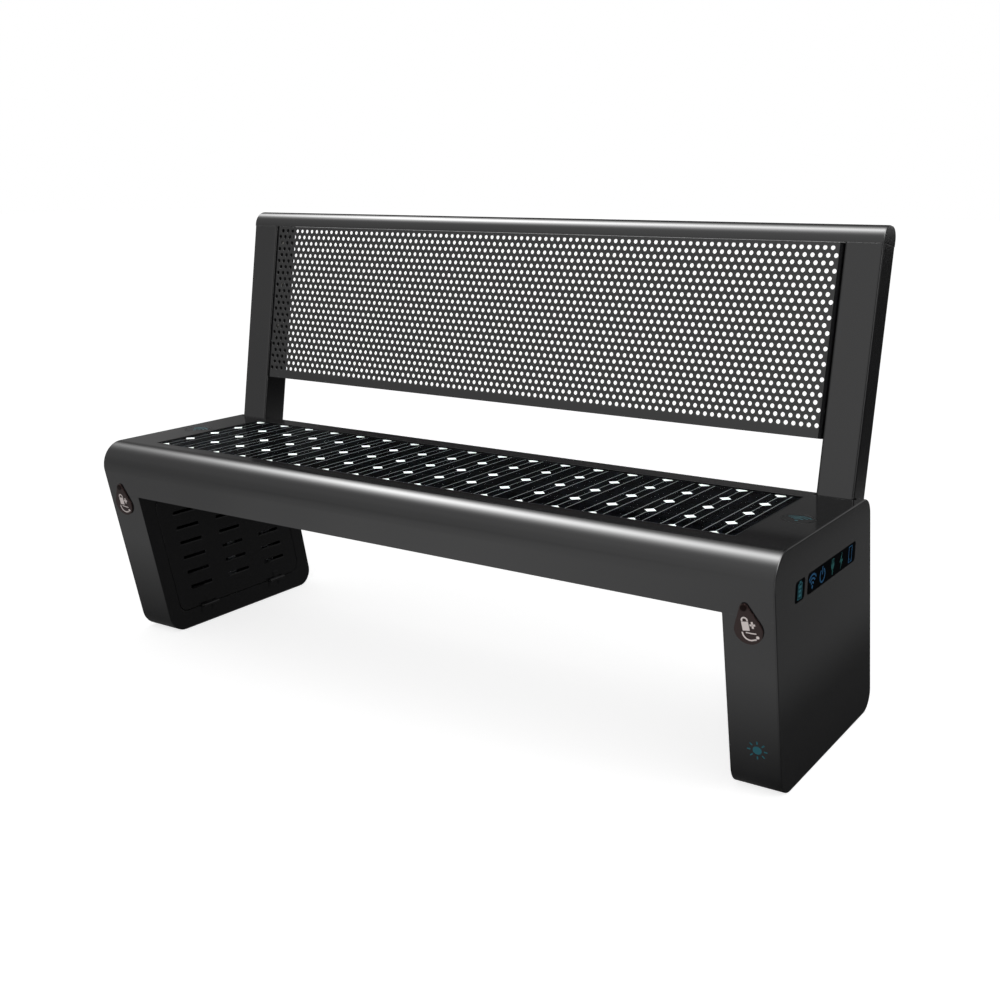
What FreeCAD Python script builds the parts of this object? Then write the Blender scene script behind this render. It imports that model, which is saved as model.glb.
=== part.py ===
import FreeCAD, Part
import Sketcher
import math
import os
import re

# Solar charging bench of painted sheet steel: a leaning portal-shaped body on two box legs,
# a flush solar panel in the seat and a leaning back of perforated sheet between two posts.
# Millimetres, +Z up, +X to the sitter's left, -Y to the front. The origin is on the ground,
# halfway along the bench and halfway between its foremost and rearmost points.

doc = FreeCAD.newDocument("SolarChargingBench")

# Driving dimensions: name, value, meaning.
SIZES = [
    ("bench_length", 1556, "overall length"),
    ("seat_height", 450, "ground to the top of the seat"),
    ("base_depth", 472, "front face to rear face, measured level"),
    ("front_corner", -291.1, "Y of the sharp corner where front face and seat would meet"),
    ("front_slope", 0.2235, "level run of the front and rear faces for each unit of drop"),
    ("front_top_round", 50, "outer bend radius of the seat's front edge"),
    ("rear_top_round", 40, "outer bend radius of the seat's rear edge"),
    ("front_foot_round", 50, "outer bend radius under the front of a leg"),
    ("rear_foot_round", 35, "outer bend radius under the rear of a leg"),
    ("skin_wall", 3, "steel of the outer skins and end panels"),
    ("panel_wall", 2, "steel of inner panels, doors and tray"),
    ("edge_rim", 2.4, "ground outer edges of end panels and rail caps"),
    ("leg_width", 91.5, "end of the bench to the inner face of a leg"),
    ("fascia_height", 112, "seat top to the lower edge of the fascia"),
    ("skin_joint", 128, "Y of the welded joint of seat skin and rear skin"),
    ("back_front", 137.6, "Y of the front face of the posts at seat level"),
    ("back_lean", 9, "lean of the back from upright, degrees"),
    ("back_height", 494.5, "seat level to the top of the rail, up the slope"),
    ("top_rail_height", 35.5, "height of the top rail"),
    ("top_rail_round", 32, "outer radius along the front of the top rail"),
    ("top_rail_rear_round", 24, "outer radius along the rear of the top rail"),
    ("post_width", 71, "post, across the bench"),
    ("post_depth", 68, "post, front to back"),
    ("post_inset", 18, "end of the bench to the outer face of a post"),
    ("post_wall", 3, "steel of posts and top rail"),
    ("post_round", 5, "outer corner radius of the posts"),
    ("post_foot_level", 262, "height at which the posts end inside the legs"),
    ("slot_side_gap", 4, "gap beside a post in its slot"),
    ("slot_front_gap", 1, "gap in front of a post in its slot"),
    ("foot_plate_wall", 8, "plates that carry the post ends"),
    ("post_bolt_radius", 5, "bolts of the post ends"),
    ("bolt_clearance", 0.3, "radial gap around bolts and screws"),
    ("sheet_lower", 102.3, "seat level to the lower edge of the perforated sheet, up the slope"),
    ("sheet_wall", 2, "perforated sheet and its folded edges"),
    ("sheet_post_gap", 2, "folded edge of the sheet to the post"),
    ("sheet_rail_gap", 0.5, "upper edge of the sheet to the top rail"),
    ("edge_round", 5, "outer bend radius of the folded sheet edges"),
    ("edge_flat", 1, "flat margin of the folded sheet edges beside the bend"),
    ("edge_depth", 30, "depth of the folded side edges"),
    ("hem_depth", 22, "depth of the folded lower edge"),
    ("hole_radius", 4.3, "holes of the perforated sheet"),
    ("hole_pitch", 14.85, "holes along a row"),
    ("hole_row_pitch", 14.03, "row to row, each row set half a pitch over"),
    ("hole_first_row", 23.7, "lower edge of the sheet to the centres of the first row"),
    ("hole_side_margin", 11, "least distance from a hole's centre to the folded side of the sheet"),
    ("hole_top_margin", 9, "least distance from a hole's centre to the top of the sheet"),
    ("sheet_screw_radius", 3, "screws that hold the sheet to the posts"),
    ("sheet_screw_setback", 20, "front of the sheet to the screws"),
    ("sheet_screw_first", 30, "lower edge of the sheet to the first screw"),
    ("sheet_screw_pitch", 96, "screw to screw"),
    ("glass_left_margin", 94, "left end of the bench to the solar glass"),
    ("glass_right_margin", 102, "right end of the bench to the solar glass"),
    ("glass_front_margin", 88, "sharp front corner to the solar glass"),
    ("glass_depth", 311.6, "solar glass, front to back"),
    ("glass_wall", 3.2, "solar glass"),
    ("gasket_width", 2, "seal around the solar glass"),
    ("cell_pitch_across", 76.7, "solar cell to solar cell along the bench"),
    ("cell_pitch_deep", 74.9, "solar cell to solar cell, front to back"),
    ("cell_first_column", 15.3, "left edge of the glass to the first full cell"),
    ("cell_first_row", 6.5, "front edge of the glass to the first full row"),
    ("cell_rows", 4, "rows of full cells"),
    ("cell_gap", 1.4, "gap between the columns of cells"),
    ("cell_row_gap", 0.3, "gap between the rows of cells"),
    ("cell_edge_gap", 0.4, "gap between the cells and the edge of the glass"),
    ("cell_corner", 11.5, "cut corner of a cell"),
    ("cell_wall", 0.4, "cell laminate"),
    ("backsheet_wall", 0.4, "white sheet behind the cells"),
    ("panel_frame_height", 21, "aluminium frame under the glass"),
    ("panel_frame_width", 16, "bar width of that frame"),
    ("panel_frame_lap", 2.5, "frame beyond the opening in the seat"),
    ("pad_radius", 30, "wireless charging disc"),
    ("pad_inset", 53, "end of the bench to the centre of a disc"),
    ("pad_setback", 247.4, "sharp front corner to the centre of a disc"),
    ("pad_flange", 3, "flange of the disc under the seat skin"),
    ("pad_gap", 0.3, "gap around a disc"),
    ("coil_radius", 28, "transmitter under a disc"),
    ("coil_height", 14, "transmitter under a disc"),
    ("window_drop", 67.5, "seat top to the upper edge of the indicator windows"),
    ("window_height", 37.5, "indicator windows"),
    ("window_setback", 104.4, "sharp front corner to the first indicator window"),
    ("window_first_width", 43, "first indicator window"),
    ("window_strip_width", 242, "second indicator window"),
    ("window_spacing", 13, "metal between the two windows"),
    ("window_round", 7, "corner radius of the windows"),
    ("window_gap", 0.3, "gap around the windows"),
    ("window_board_gap", 6, "windows to the lamp board"),
    ("board_wall", 1.6, "lamp board"),
    ("board_drop", 8, "lower edge of the windows to the lower edge of the lamp board"),
    ("lamp_size", 5, "indicator lamps"),
    ("cover_inset_left", 40.5, "left end of the bench to the pivot of its port cover"),
    ("cover_inset_right", 52.5, "right end of the bench to the pivot of its port cover"),
    ("cover_drop", 94, "seat top to the pivot of a port cover"),
    ("cover_reach", 42, "pivot to the centre of the round end"),
    ("cover_radius", 24.5, "round end of a port cover"),
    ("cover_neck_radius", 7, "upper end of a port cover"),
    ("cover_wall", 3, "thickness of a port cover"),
    ("cover_gap", 0.3, "skin to port cover"),
    ("cover_tilt", 9, "rest angle of the right cover from plumb, degrees"),
    ("pivot_radius", 3, "pivot pin of a port cover"),
    ("running_gap", 0.05, "radial gap of pins and bushes that turn"),
    ("socket_radius", 15, "body of the double charging socket"),
    ("socket_depth", 24, "body of the double charging socket"),
    ("port_width", 5.2, "charging port"),
    ("port_height", 12.6, "charging port"),
    ("port_depth", 12, "charging port"),
    ("port_spacing", 11, "port to port"),
    ("socket_recess", 0.5, "face of a leg to the face of the socket"),
    ("door_margin", 39, "width of the panel frame in front of and behind the door"),
    ("door_lower", 45, "ground to the lower edge of the door"),
    ("door_drop", 12, "lower edge of the fascia to the upper edge of the door"),
    ("door_gap", 2, "seam around the door"),
    ("door_round", 22, "corner radius of the door"),
    ("louvre_length", 66, "slot of a louvre"),
    ("louvre_height", 6, "slot of a louvre"),
    ("louvre_first_row", 52, "lower edge of the door to the first row of louvres"),
    ("louvre_last_row", 44.5, "upper edge of the door to the last row of louvres"),
    ("louvre_rows", 6, "rows of louvres"),
    ("louvre_setback", 43, "front edge of the door to the first louvre"),
    ("louvre_pitch", 121, "louvre to louvre, front to back"),
    ("louvre_columns", 3, "columns of louvres"),
    ("louvre_lip", 2.5, "lip below a slot, out from the door"),
    ("hinge_pin_radius", 2.5, "hinge pins of the doors"),
    ("hinge_barrel_radius", 4.5, "hinge barrels of the doors"),
    ("hinge_leaf_wall", 1.5, "hinge leaves"),
    ("hinge_leaf_height", 18, "hinge leaves"),
    ("hinge_part_length", 16, "one of the three barrels of a hinge"),
    ("hinge_part_gap", 0.4, "gap between the barrels of a hinge"),
    ("hinge_setback", 60, "ends of the door to the hinges"),
    ("lock_radius", 8, "barrel of the door lock"),
    ("lock_head_radius", 11, "head of the door lock"),
    ("lock_drop", 16, "upper edge of the door to the lock"),
    ("lock_reach", 25, "axis of the lock to the tip of its cam"),
    ("lock_head_wall", 2, "head of the door lock"),
    ("lock_cam_wall", 2.5, "cam of the lock"),
    ("lock_cam_gap", 0.5, "back of the door to the cam"),
    ("base_plate_wall", 6, "plate inside the foot of a leg"),
    ("base_plate_depth", 360, "plate inside the foot of a leg, front to back"),
    ("anchor_radius", 6.5, "holes for the ground anchors"),
    ("anchor_spacing_across", 44, "anchor to anchor across a leg"),
    ("anchor_spacing_deep", 300, "anchor to anchor, front to back"),
    ("anchor_setback", 242, "front face of a leg at the ground to the middle of its anchors"),
    ("seat_rail_size", 40, "square tube along the seat"),
    ("tube_wall", 3, "wall of the square tubes inside"),
    ("seat_rail_front", 104, "sharp front corner to the front rail"),
    ("seat_rail_spacing", 250, "front rail to rear rail"),
    ("cross_bar_size", 30, "square tube across the seat"),
    ("cross_bar_pitch", 440, "cross bar to cross bar"),
    ("column_size", 40, "square tube up the rear of a leg"),
    ("foot_plate_margin", 26, "foot plates beyond the post, in front and behind"),
    ("junction_box_size", 90, "junction box under the solar panel"),
    ("junction_box_height", 19, "junction box under the solar panel"),
    ("battery_width", 56, "battery, across the bench"),
    ("battery_depth", 184, "battery, front to back"),
    ("battery_height", 170, "battery"),
    ("battery_inset", 16, "end panel to the battery"),
    ("column_gap", 12, "battery and electronics to the tube behind them"),
    ("tray_lip", 18, "upstand of the battery tray"),
    ("strap_width", 25, "battery strap"),
    ("strap_wall", 1.5, "battery strap"),
    ("equipment_level", 80, "ground to the plate that carries the electronics"),
    ("equipment_depth", 192, "that plate, front to back"),
    ("equipment_height", 160, "that plate"),
    ("equipment_standoff", 5, "end panel to that plate"),
    ("controller_depth", 100, "charge controller, front to back"),
    ("controller_height", 110, "charge controller"),
    ("controller_width", 34, "charge controller, out from its plate"),
    ("converter_depth", 66, "power converter, front to back"),
    ("conduit_radius", 11, "cable conduit along the seat"),
    ("conduit_drop", 3, "cross bars to the conduit"),
    ("conduit_end_gap", 6, "inner faces of the legs to the ends of the conduit"),
]

# Sizes that follow from the ones above.
LEVELS = [
    ("door_upper", "=seat_height - fascia_height - door_drop", "ground to the upper edge of the door"),
    ("cover_level", "=seat_height - cover_drop", "ground to the pivot of a port cover"),
    ("window_lower", "=seat_height - window_drop - window_height", "ground to the lower edge of the windows"),
    ("louvre_row_pitch", "=(door_upper - door_lower - louvre_first_row - louvre_last_row)/(louvre_rows - 1)",
     "row of louvres to row"),
]

sheet = doc.addObject("Spreadsheet::Sheet", "Sizes")
for row, (alias, value, meaning) in enumerate(SIZES + LEVELS, start=1):
    sheet.set("A%d" % row, alias)
    sheet.set("B%d" % row, str(value))
    sheet.setAlias("B%d" % row, alias)
    sheet.set("C%d" % row, meaning)
doc.recompute()

names = {alias for alias, value, meaning in SIZES + LEVELS}
nodes = {}

X_AXIS = FreeCAD.Vector(1, 0, 0)
Y_AXIS = FreeCAD.Vector(0, 1, 0)
Z_AXIS = FreeCAD.Vector(0, 0, 1)


def size(alias):
    return float(sheet.get(alias))


# Turns a formula in plain size names into one that reads the cells.
def formula(text):
    return re.sub(r"[a-z_]+", lambda word: "Sizes." + word[0] if word[0] in names else word[0], str(text))


def bind(item, **links):
    for prop, text in links.items():
        item.setExpression(prop, formula(text))
    return item


def place(item, x, y, z):
    for axis, text in zip("xyz", (x, y, z)):
        item.setExpression("Placement.Base." + axis, formula(text))
    return item


def box(x, y, z, length, width, height):
    item = bind(doc.addObject("Part::Box", "Box"), Length=length, Width=width, Height=height)
    return place(item, x, y, z)


# A cylinder that starts at a point and runs along one of the axes.
def rod(x, y, z, radius, length, axis=Z_AXIS):
    item = bind(doc.addObject("Part::Cylinder", "Rod"), Radius=radius, Height=length)
    item.Placement = FreeCAD.Placement(FreeCAD.Vector(), FreeCAD.Rotation(Z_AXIS, axis))
    return place(item, x, y, z)


def fuse(*parts):
    item = doc.addObject("Part::MultiFuse", "Fuse")
    item.Shapes = list(parts)
    return item


def group(*parts):
    item = doc.addObject("Part::Compound", "Group")
    item.Links = list(parts)
    return item


def cut(base, *tools):
    item = doc.addObject("Part::Cut", "Cut")
    item.Base = base
    item.Tool = tools[0] if len(tools) == 1 else group(*tools)
    return item


def shaped(shape):
    item = doc.addObject("Part::Feature", "Shaped")
    item.Shape = shape
    return item


# Names an object as one finished piece of the bench.
def node(name, item):
    item.Label = name
    nodes[name] = item
    return item


# A point of the leaning back: y runs back from the front of the posts, z up the slope from
# the seat.
def lean_point(item, x, y, z):
    deep = "back_front + (%s)*cos(back_lean) + (%s)*sin(back_lean)" % (y, z)
    high = "seat_height - (%s)*sin(back_lean) + (%s)*cos(back_lean)" % (y, z)
    return place(item, x, deep, high)


# Leans an item with the back. The axis points to -X so that the angle stays positive.
def lean(item, x, y, z):
    item.Placement = FreeCAD.Placement(FreeCAD.Vector(), FreeCAD.Rotation(-X_AXIS, 1))
    item.setExpression("Placement.Rotation.Angle", formula("back_lean"))
    return lean_point(item, x, y, z)


def lean_box(x, y, z, length, width, height):
    item = bind(doc.addObject("Part::Box", "Box"), Length=length, Width=width, Height=height)
    return lean(item, x, y, z)


# A cylinder along X at a point of the leaning back.
def lean_rod(x, y, z, radius, length):
    item = bind(doc.addObject("Part::Cylinder", "Rod"), Radius=radius, Height=length)
    item.Placement = FreeCAD.Placement(FreeCAD.Vector(), FreeCAD.Rotation(Z_AXIS, X_AXIS))
    return lean_point(item, x, y, z)


# A place behind the slanting front face: at a level on the face, then so far into the bench.
def behind_front(item, x, level, depth="0", angle="atan(front_slope)", axis=X_AXIS):
    item.Placement = FreeCAD.Placement(FreeCAD.Vector(), FreeCAD.Rotation(axis, 1))
    item.setExpression("Placement.Rotation.Angle", formula(angle))
    deep = "%s + (%s)*cos(atan(front_slope))" % (front_at(level), depth)
    high = "(%s) + (%s)*sin(atan(front_slope))" % (level, depth)
    return place(item, x, deep, high)


# A cylinder square to the front face that runs into the bench.
def bore(x, level, start, radius, length):
    item = bind(doc.addObject("Part::Cylinder", "Bore"), Radius=radius, Height=length)
    return behind_front(item, x, level, start, "90deg - atan(front_slope)", -X_AXIS)


def front_at(level, inset="0"):
    return "front_corner + front_slope*(seat_height - (%s)) + (%s)*sqrt(1 + front_slope^2)" % (level, inset)


def rear_at(level, inset="0"):
    return front_at(level, "-(%s)" % inset) + " + base_depth"


# Start and length along X of a piece between two distances from the middle of the bench.
def reach(side, inner, outer):
    start = inner if side == "right" else "-(%s)" % outer
    return start, "(%s) - (%s)" % (outer, inner)


def signed(side, text):
    return text if side == "right" else "-(%s)" % text


def origin_plane(body, role):
    return next(item for item in body.Origin.OriginFeatures if item.Role == role)


# A padded outline whose corners are formulas, with some corners rounded. On the YZ plane it is
# padded along X, on the XY plane along Z. A start is the place along X where it begins. A rim
# is the end whose edges are rounded too, far or near, with their radius.
def profile(corners, start, length, rounds=None, plane="YZ_Plane", rim=None):
    body = doc.addObject("PartDesign::Body", "Profile")
    outline = body.newObject("Sketcher::SketchObject", "Outline")
    outline.AttachmentSupport = (origin_plane(body, plane), "")
    outline.MapMode = "FlatFace"
    count = len(corners)
    turns = [2 * math.pi * index / count for index in range(count)]
    points = [FreeCAD.Vector(100 * math.cos(turn), 100 * math.sin(turn), 0) for turn in turns]
    for index in range(count):
        outline.addGeometry(Part.LineSegment(points[index], points[(index + 1) % count]), False)
    for index in range(count):
        outline.addConstraint(Sketcher.Constraint("Coincident", index, 2, (index + 1) % count, 1))
    for index, (across, up) in enumerate(corners):
        for kind, text, now in (("DistanceX", across, points[index].x), ("DistanceY", up, points[index].y)):
            number = outline.addConstraint(Sketcher.Constraint(kind, -1, 1, index, 1, now))
            outline.setExpression("Constraints[%d]" % number, formula(text))
    pad = body.newObject("PartDesign::Pad", "Pad")
    pad.Profile = outline
    bind(pad, Length=length)
    doc.recompute()
    last = pad
    for radius in dict.fromkeys((rounds or {}).values()):
        wanted = [outline.getPoint(index, 1) for index, text in rounds.items() if text == radius]
        edges = [name for corner in wanted for name in corner_edges(last.Shape, corner, plane)]
        before = last
        last = body.newObject("PartDesign::Fillet", "Round")
        last.Base = (before, edges)
        bind(last, Radius=radius)
        doc.recompute()
    if rim is not None:
        before = last
        last = body.newObject("PartDesign::Fillet", "Rim")
        last.Base = (before, far_edges(before.Shape, rim[0], plane))
        bind(last, Radius=rim[1])
        doc.recompute()
    body.Tip = last
    if start is not None:
        body.setExpression("Placement.Base.x", formula(start))
    return body


# The edges along the pad that stand on one corner of its outline.
def corner_edges(shape, corner, plane):
    found = []
    for number, edge in enumerate(shape.Edges, start=1):
        ends = [vertex.Point for vertex in edge.Vertexes]
        if plane == "YZ_Plane":
            ends = [FreeCAD.Vector(end.y, end.z, 0) for end in ends]
        else:
            ends = [FreeCAD.Vector(end.x, end.y, 0) for end in ends]
        if len(ends) == 2 and all(end.distanceToPoint(corner) < 0.001 for end in ends):
            found.append("Edge%d" % number)
    return found


# The edges around the far or the near end of a pad.
def far_edges(shape, end, plane):
    def height(edge):
        center = edge.BoundBox
        low, high = (center.XMin, center.XMax) if plane == "YZ_Plane" else (center.ZMin, center.ZMax)
        return low if high - low < 0.001 else None

    heights = [height(edge) for edge in shape.Edges]
    level = max if end == "far" else min
    wanted = level(value for value in heights if value is not None)
    return ["Edge%d" % (number + 1) for number, value in enumerate(heights)
            if value is not None and abs(value - wanted) < 0.001]


half = "bench_length/2"
end_inner = "bench_length/2 - skin_wall"
leg_inner = "bench_length/2 - leg_width"
leg_hollow = "bench_length/2 - leg_width + panel_wall"
fascia = "seat_height - fascia_height"
skin_under = "seat_height - skin_wall"
sides = ("left", "right")


# Body skins

seat_outline = [
    (front_at(fascia), fascia),
    ("front_corner", "seat_height"),
    ("skin_joint", "seat_height"),
    ("skin_joint", skin_under),
    (front_at(skin_under, "skin_wall"), skin_under),
    (front_at(fascia, "skin_wall"), fascia),
]
seat_rounds = {1: "front_top_round", 4: "front_top_round - skin_wall"}
seat_blank = profile(seat_outline, "-(%s)" % end_inner, "bench_length - 2*skin_wall", seat_rounds)

glass_left = "-bench_length/2 + glass_left_margin"
glass_length = "bench_length - glass_left_margin - glass_right_margin"
glass_front = "front_corner + glass_front_margin"
panel_opening = box(glass_left + " - gasket_width", glass_front + " - gasket_width", "seat_height - 10",
                    glass_length + " + 2*gasket_width", "glass_depth + 2*gasket_width", 20)

pad_y = "front_corner + pad_setback"


def pad_x(side):
    return signed(side, "(bench_length/2 - pad_inset)")


def cover_x(side):
    return signed(side, "(bench_length/2 - cover_inset_%s)" % side)


# The socket sits behind the round end of its cover when that hangs plumb.
socket_level = "cover_level - cover_reach*cos(atan(front_slope))"
seat_cuts = [panel_opening]
for side in sides:
    seat_cuts.append(rod(pad_x(side), pad_y, "seat_height - 10", "pad_radius + pad_gap", 20))
    seat_cuts.append(bore(cover_x(side), "cover_level", -10, "pivot_radius", 20))
node("seat_skin", cut(seat_blank, *seat_cuts))

rear_outline = [
    ("skin_joint", "seat_height"),
    (rear_at("seat_height"), "seat_height"),
    (rear_at(fascia), fascia),
    (rear_at(fascia, "skin_wall"), fascia),
    (rear_at(skin_under, "skin_wall"), skin_under),
    ("skin_joint", skin_under),
]
rear_rounds = {1: "rear_top_round", 4: "rear_top_round - skin_wall"}
rear_blank = profile(rear_outline, "-(%s)" % end_inner, "bench_length - 2*skin_wall", rear_rounds)
post_outer = "bench_length/2 - post_inset"
post_inner = post_outer + " - post_width"
slots = []
for side in sides:
    start, width = reach(side, post_inner, post_outer)
    slots.append(lean_box(start + " - slot_side_gap", "-slot_front_gap", "-base_depth",
                          width + " + 2*slot_side_gap", "post_depth + slot_front_gap + slot_side_gap",
                          "2*base_depth"))
node("rear_skin", cut(rear_blank, *slots))

leg_outline = [
    (front_at(fascia), fascia),
    (front_at("0"), "0"),
    (rear_at("0"), "0"),
    (rear_at(fascia), fascia),
]
leg_rounds = {1: "front_foot_round", 2: "rear_foot_round"}
above = fascia + " + 20"
hollow_outline = [
    (front_at(above, "skin_wall"), above),
    (front_at("skin_wall", "skin_wall"), "skin_wall"),
    (rear_at("skin_wall", "skin_wall"), "skin_wall"),
    (rear_at(above, "skin_wall"), above),
]
hollow_rounds = {1: "front_foot_round - skin_wall", 2: "rear_foot_round - skin_wall"}
door_outline = [
    (front_at("door_upper") + " + door_margin", "door_upper"),
    (front_at("door_lower") + " + door_margin", "door_lower"),
    (rear_at("door_lower") + " - door_margin", "door_lower"),
    (rear_at("door_upper") + " - door_margin", "door_upper"),
]
seam = "door_gap*sqrt(1 + front_slope^2)"
opening_outline = [
    (front_at("door_upper + door_gap") + " + door_margin - " + seam, "door_upper + door_gap"),
    (front_at("door_lower - door_gap") + " + door_margin - " + seam, "door_lower - door_gap"),
    (rear_at("door_lower - door_gap") + " - door_margin + " + seam, "door_lower - door_gap"),
    (rear_at("door_upper + door_gap") + " - door_margin + " + seam, "door_upper + door_gap"),
]
all_corners = range(4)
anchor_x = "bench_length/2 - leg_width/2"
anchor_y = front_at("0") + " + anchor_setback"


def anchor_holes(side, z, length):
    holes = []
    for across in (-1, 1):
        for deep in (-1, 1):
            x = "%s + %d*anchor_spacing_across/2" % (signed(side, anchor_x), across)
            y = "%s + %d*anchor_spacing_deep/2" % (anchor_y, deep)
            holes.append(rod(x, y, z, "anchor_radius", length))
    return holes


for side in sides:
    start, width = reach(side, leg_hollow, end_inner)
    leg_blank = profile(leg_outline, start, width, leg_rounds)
    hollow = profile(hollow_outline, start + " - 5", width + " + 10", hollow_rounds)
    socket_hole = bore(cover_x(side), socket_level, -10, "socket_radius + window_gap", 20)
    node("leg_skin_" + side, cut(leg_blank, hollow, socket_hole, *anchor_holes(side, -1, "skin_wall + 2")))

    start, width = reach(side, leg_inner, leg_hollow)
    inner_blank = profile(leg_outline, start, width, leg_rounds)
    opening_rounds = {index: "door_round + door_gap" for index in all_corners}
    opening = profile(opening_outline, start + " - 5", width + " + 10", opening_rounds)
    node("inner_panel_" + side, cut(inner_blank, opening))

tray_front = front_at(fascia, "skin_wall")
tray_rear = rear_at(fascia + " + panel_wall", "skin_wall")
node("underside_tray", box("-(%s)" % leg_hollow, tray_front, fascia, "2*(%s)" % leg_hollow,
                           "%s - (%s)" % (tray_rear, tray_front), "panel_wall"))


# Indicator windows in the right end panel

def window_outline(start, width, grow="0"):
    low = "window_lower - (%s)" % grow
    high = "window_lower + window_height + (%s)" % grow
    near = "%s - (%s)" % (start, grow)
    far = "%s + %s + (%s)" % (start, width, grow)
    return [(near, low), (far, low), (far, high), (near, high)]


window_start = "front_corner + window_setback"
strip_start = window_start + " + window_first_width + window_spacing"
windows = {
    "indicator_window": (window_start, "window_first_width"),
    "indicator_strip": (strip_start, "window_strip_width"),
}
end_outline = [
    ("front_corner", "seat_height"),
    (front_at("0"), "0"),
    (rear_at("0"), "0"),
    (rear_at("seat_height"), "seat_height"),
]
end_rounds = {0: "front_top_round", 1: "front_foot_round", 2: "rear_foot_round", 3: "rear_top_round"}
window_cuts = []
for name, (start, width) in windows.items():
    hole_rounds = {index: "window_round + window_gap" for index in all_corners}
    hole = window_outline(start, width, "window_gap")
    window_cuts.append(profile(hole, end_inner + " - 5", "skin_wall + 10", hole_rounds))
    glazing_rounds = {index: "window_round" for index in all_corners}
    node(name, profile(window_outline(start, width), end_inner, "skin_wall", glazing_rounds))
node("end_panel_left", profile(end_outline, "-" + half, "skin_wall", end_rounds, rim=("near", "edge_rim")))
right_blank = profile(end_outline, end_inner, "skin_wall", end_rounds, rim=("far", "edge_rim"))
node("end_panel_right", cut(right_blank, *window_cuts))

board_x = end_inner + " - window_board_gap - board_wall"
board_z = "window_lower - board_drop"
board_length = "window_first_width + window_spacing + window_strip_width"
board = box(board_x, window_start, board_z, "board_wall", board_length, "window_height + board_drop - 4")
pillars = []
for share in (0.04, 0.5, 0.96):
    pillar_y = "%s + %s*(%s)" % (window_start, share, board_length)
    pillars.append(rod(board_x + " + board_wall", pillar_y, board_z + " + board_drop/2", 2.5,
                       "window_board_gap", X_AXIS))
node("lamp_board", fuse(board, *pillars))
lamps = []
for number in range(6):
    lamp_y = "%s + (%s)*%s/6 - lamp_size/2" % (window_start, board_length, number + 0.5)
    lamp_z = "window_lower + window_height/2 - lamp_size/2"
    lamps.append(box(board_x + " + board_wall", lamp_y, lamp_z, 2, "lamp_size", "lamp_size"))
node("indicator_lamps", group(*lamps))


# Louvred doors with their hinges and locks

# Start and length along X of a piece at a leg's inner panel, measured out of the leg from the
# seen face of the panel; distances into the leg are negative.
def at_panel(side, near, far):
    return reach(side, leg_inner + " - (%s)" % far, leg_inner + " - (%s)" % near)


hinge_z = "door_lower - door_gap/2"
hinge_step = "hinge_part_length + hinge_part_gap"
hinge_length = "3*hinge_part_length + 2*hinge_part_gap"
hinge_starts = [
    front_at("door_lower") + " + door_margin + hinge_setback",
    rear_at("door_lower") + " - door_margin - hinge_setback - (%s)" % hinge_length,
]


# One barrel of a hinge with its leaf, which points up on the door and down on the panel.
def hinge_part(side, y, points_up, bore_radius):
    barrel_x = signed(side, leg_inner + " - hinge_barrel_radius")
    barrel = rod(barrel_x, y, hinge_z, "hinge_barrel_radius", "hinge_part_length", Y_AXIS)
    x, width = at_panel(side, "0", "hinge_leaf_wall")
    z = hinge_z if points_up else hinge_z + " - hinge_leaf_height"
    leaf = box(x, y, z, width, "hinge_part_length", "hinge_leaf_height")
    hole = rod(barrel_x, y + " - 1", hinge_z, bore_radius, "hinge_part_length + 2", Y_AXIS)
    return cut(fuse(barrel, leaf), hole)


# The pressed lip below a louvre's slot, thick at the slot and running out downwards.
def louvre_lip(side, y, z):
    item = doc.addObject("Part::Wedge", "Lip")
    item.Zmin = 0
    item.X2min = 0
    item.Z2min = 0
    item.X2max = 0
    bind(item, Xmax="louvre_lip", Ymax="1.6*louvre_lip", Zmax="louvre_length", Z2max="louvre_length")
    item.Xmin = 0
    item.Ymin = 0
    out = -X_AXIS if side == "right" else X_AXIS
    along = -Y_AXIS if side == "right" else Y_AXIS
    item.Placement = FreeCAD.Placement(FreeCAD.Vector(), FreeCAD.Rotation(out, -Z_AXIS, along, "XYZ"))
    start = y + " + louvre_length" if side == "right" else y
    return place(item, signed(side, leg_inner), start, z)


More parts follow.
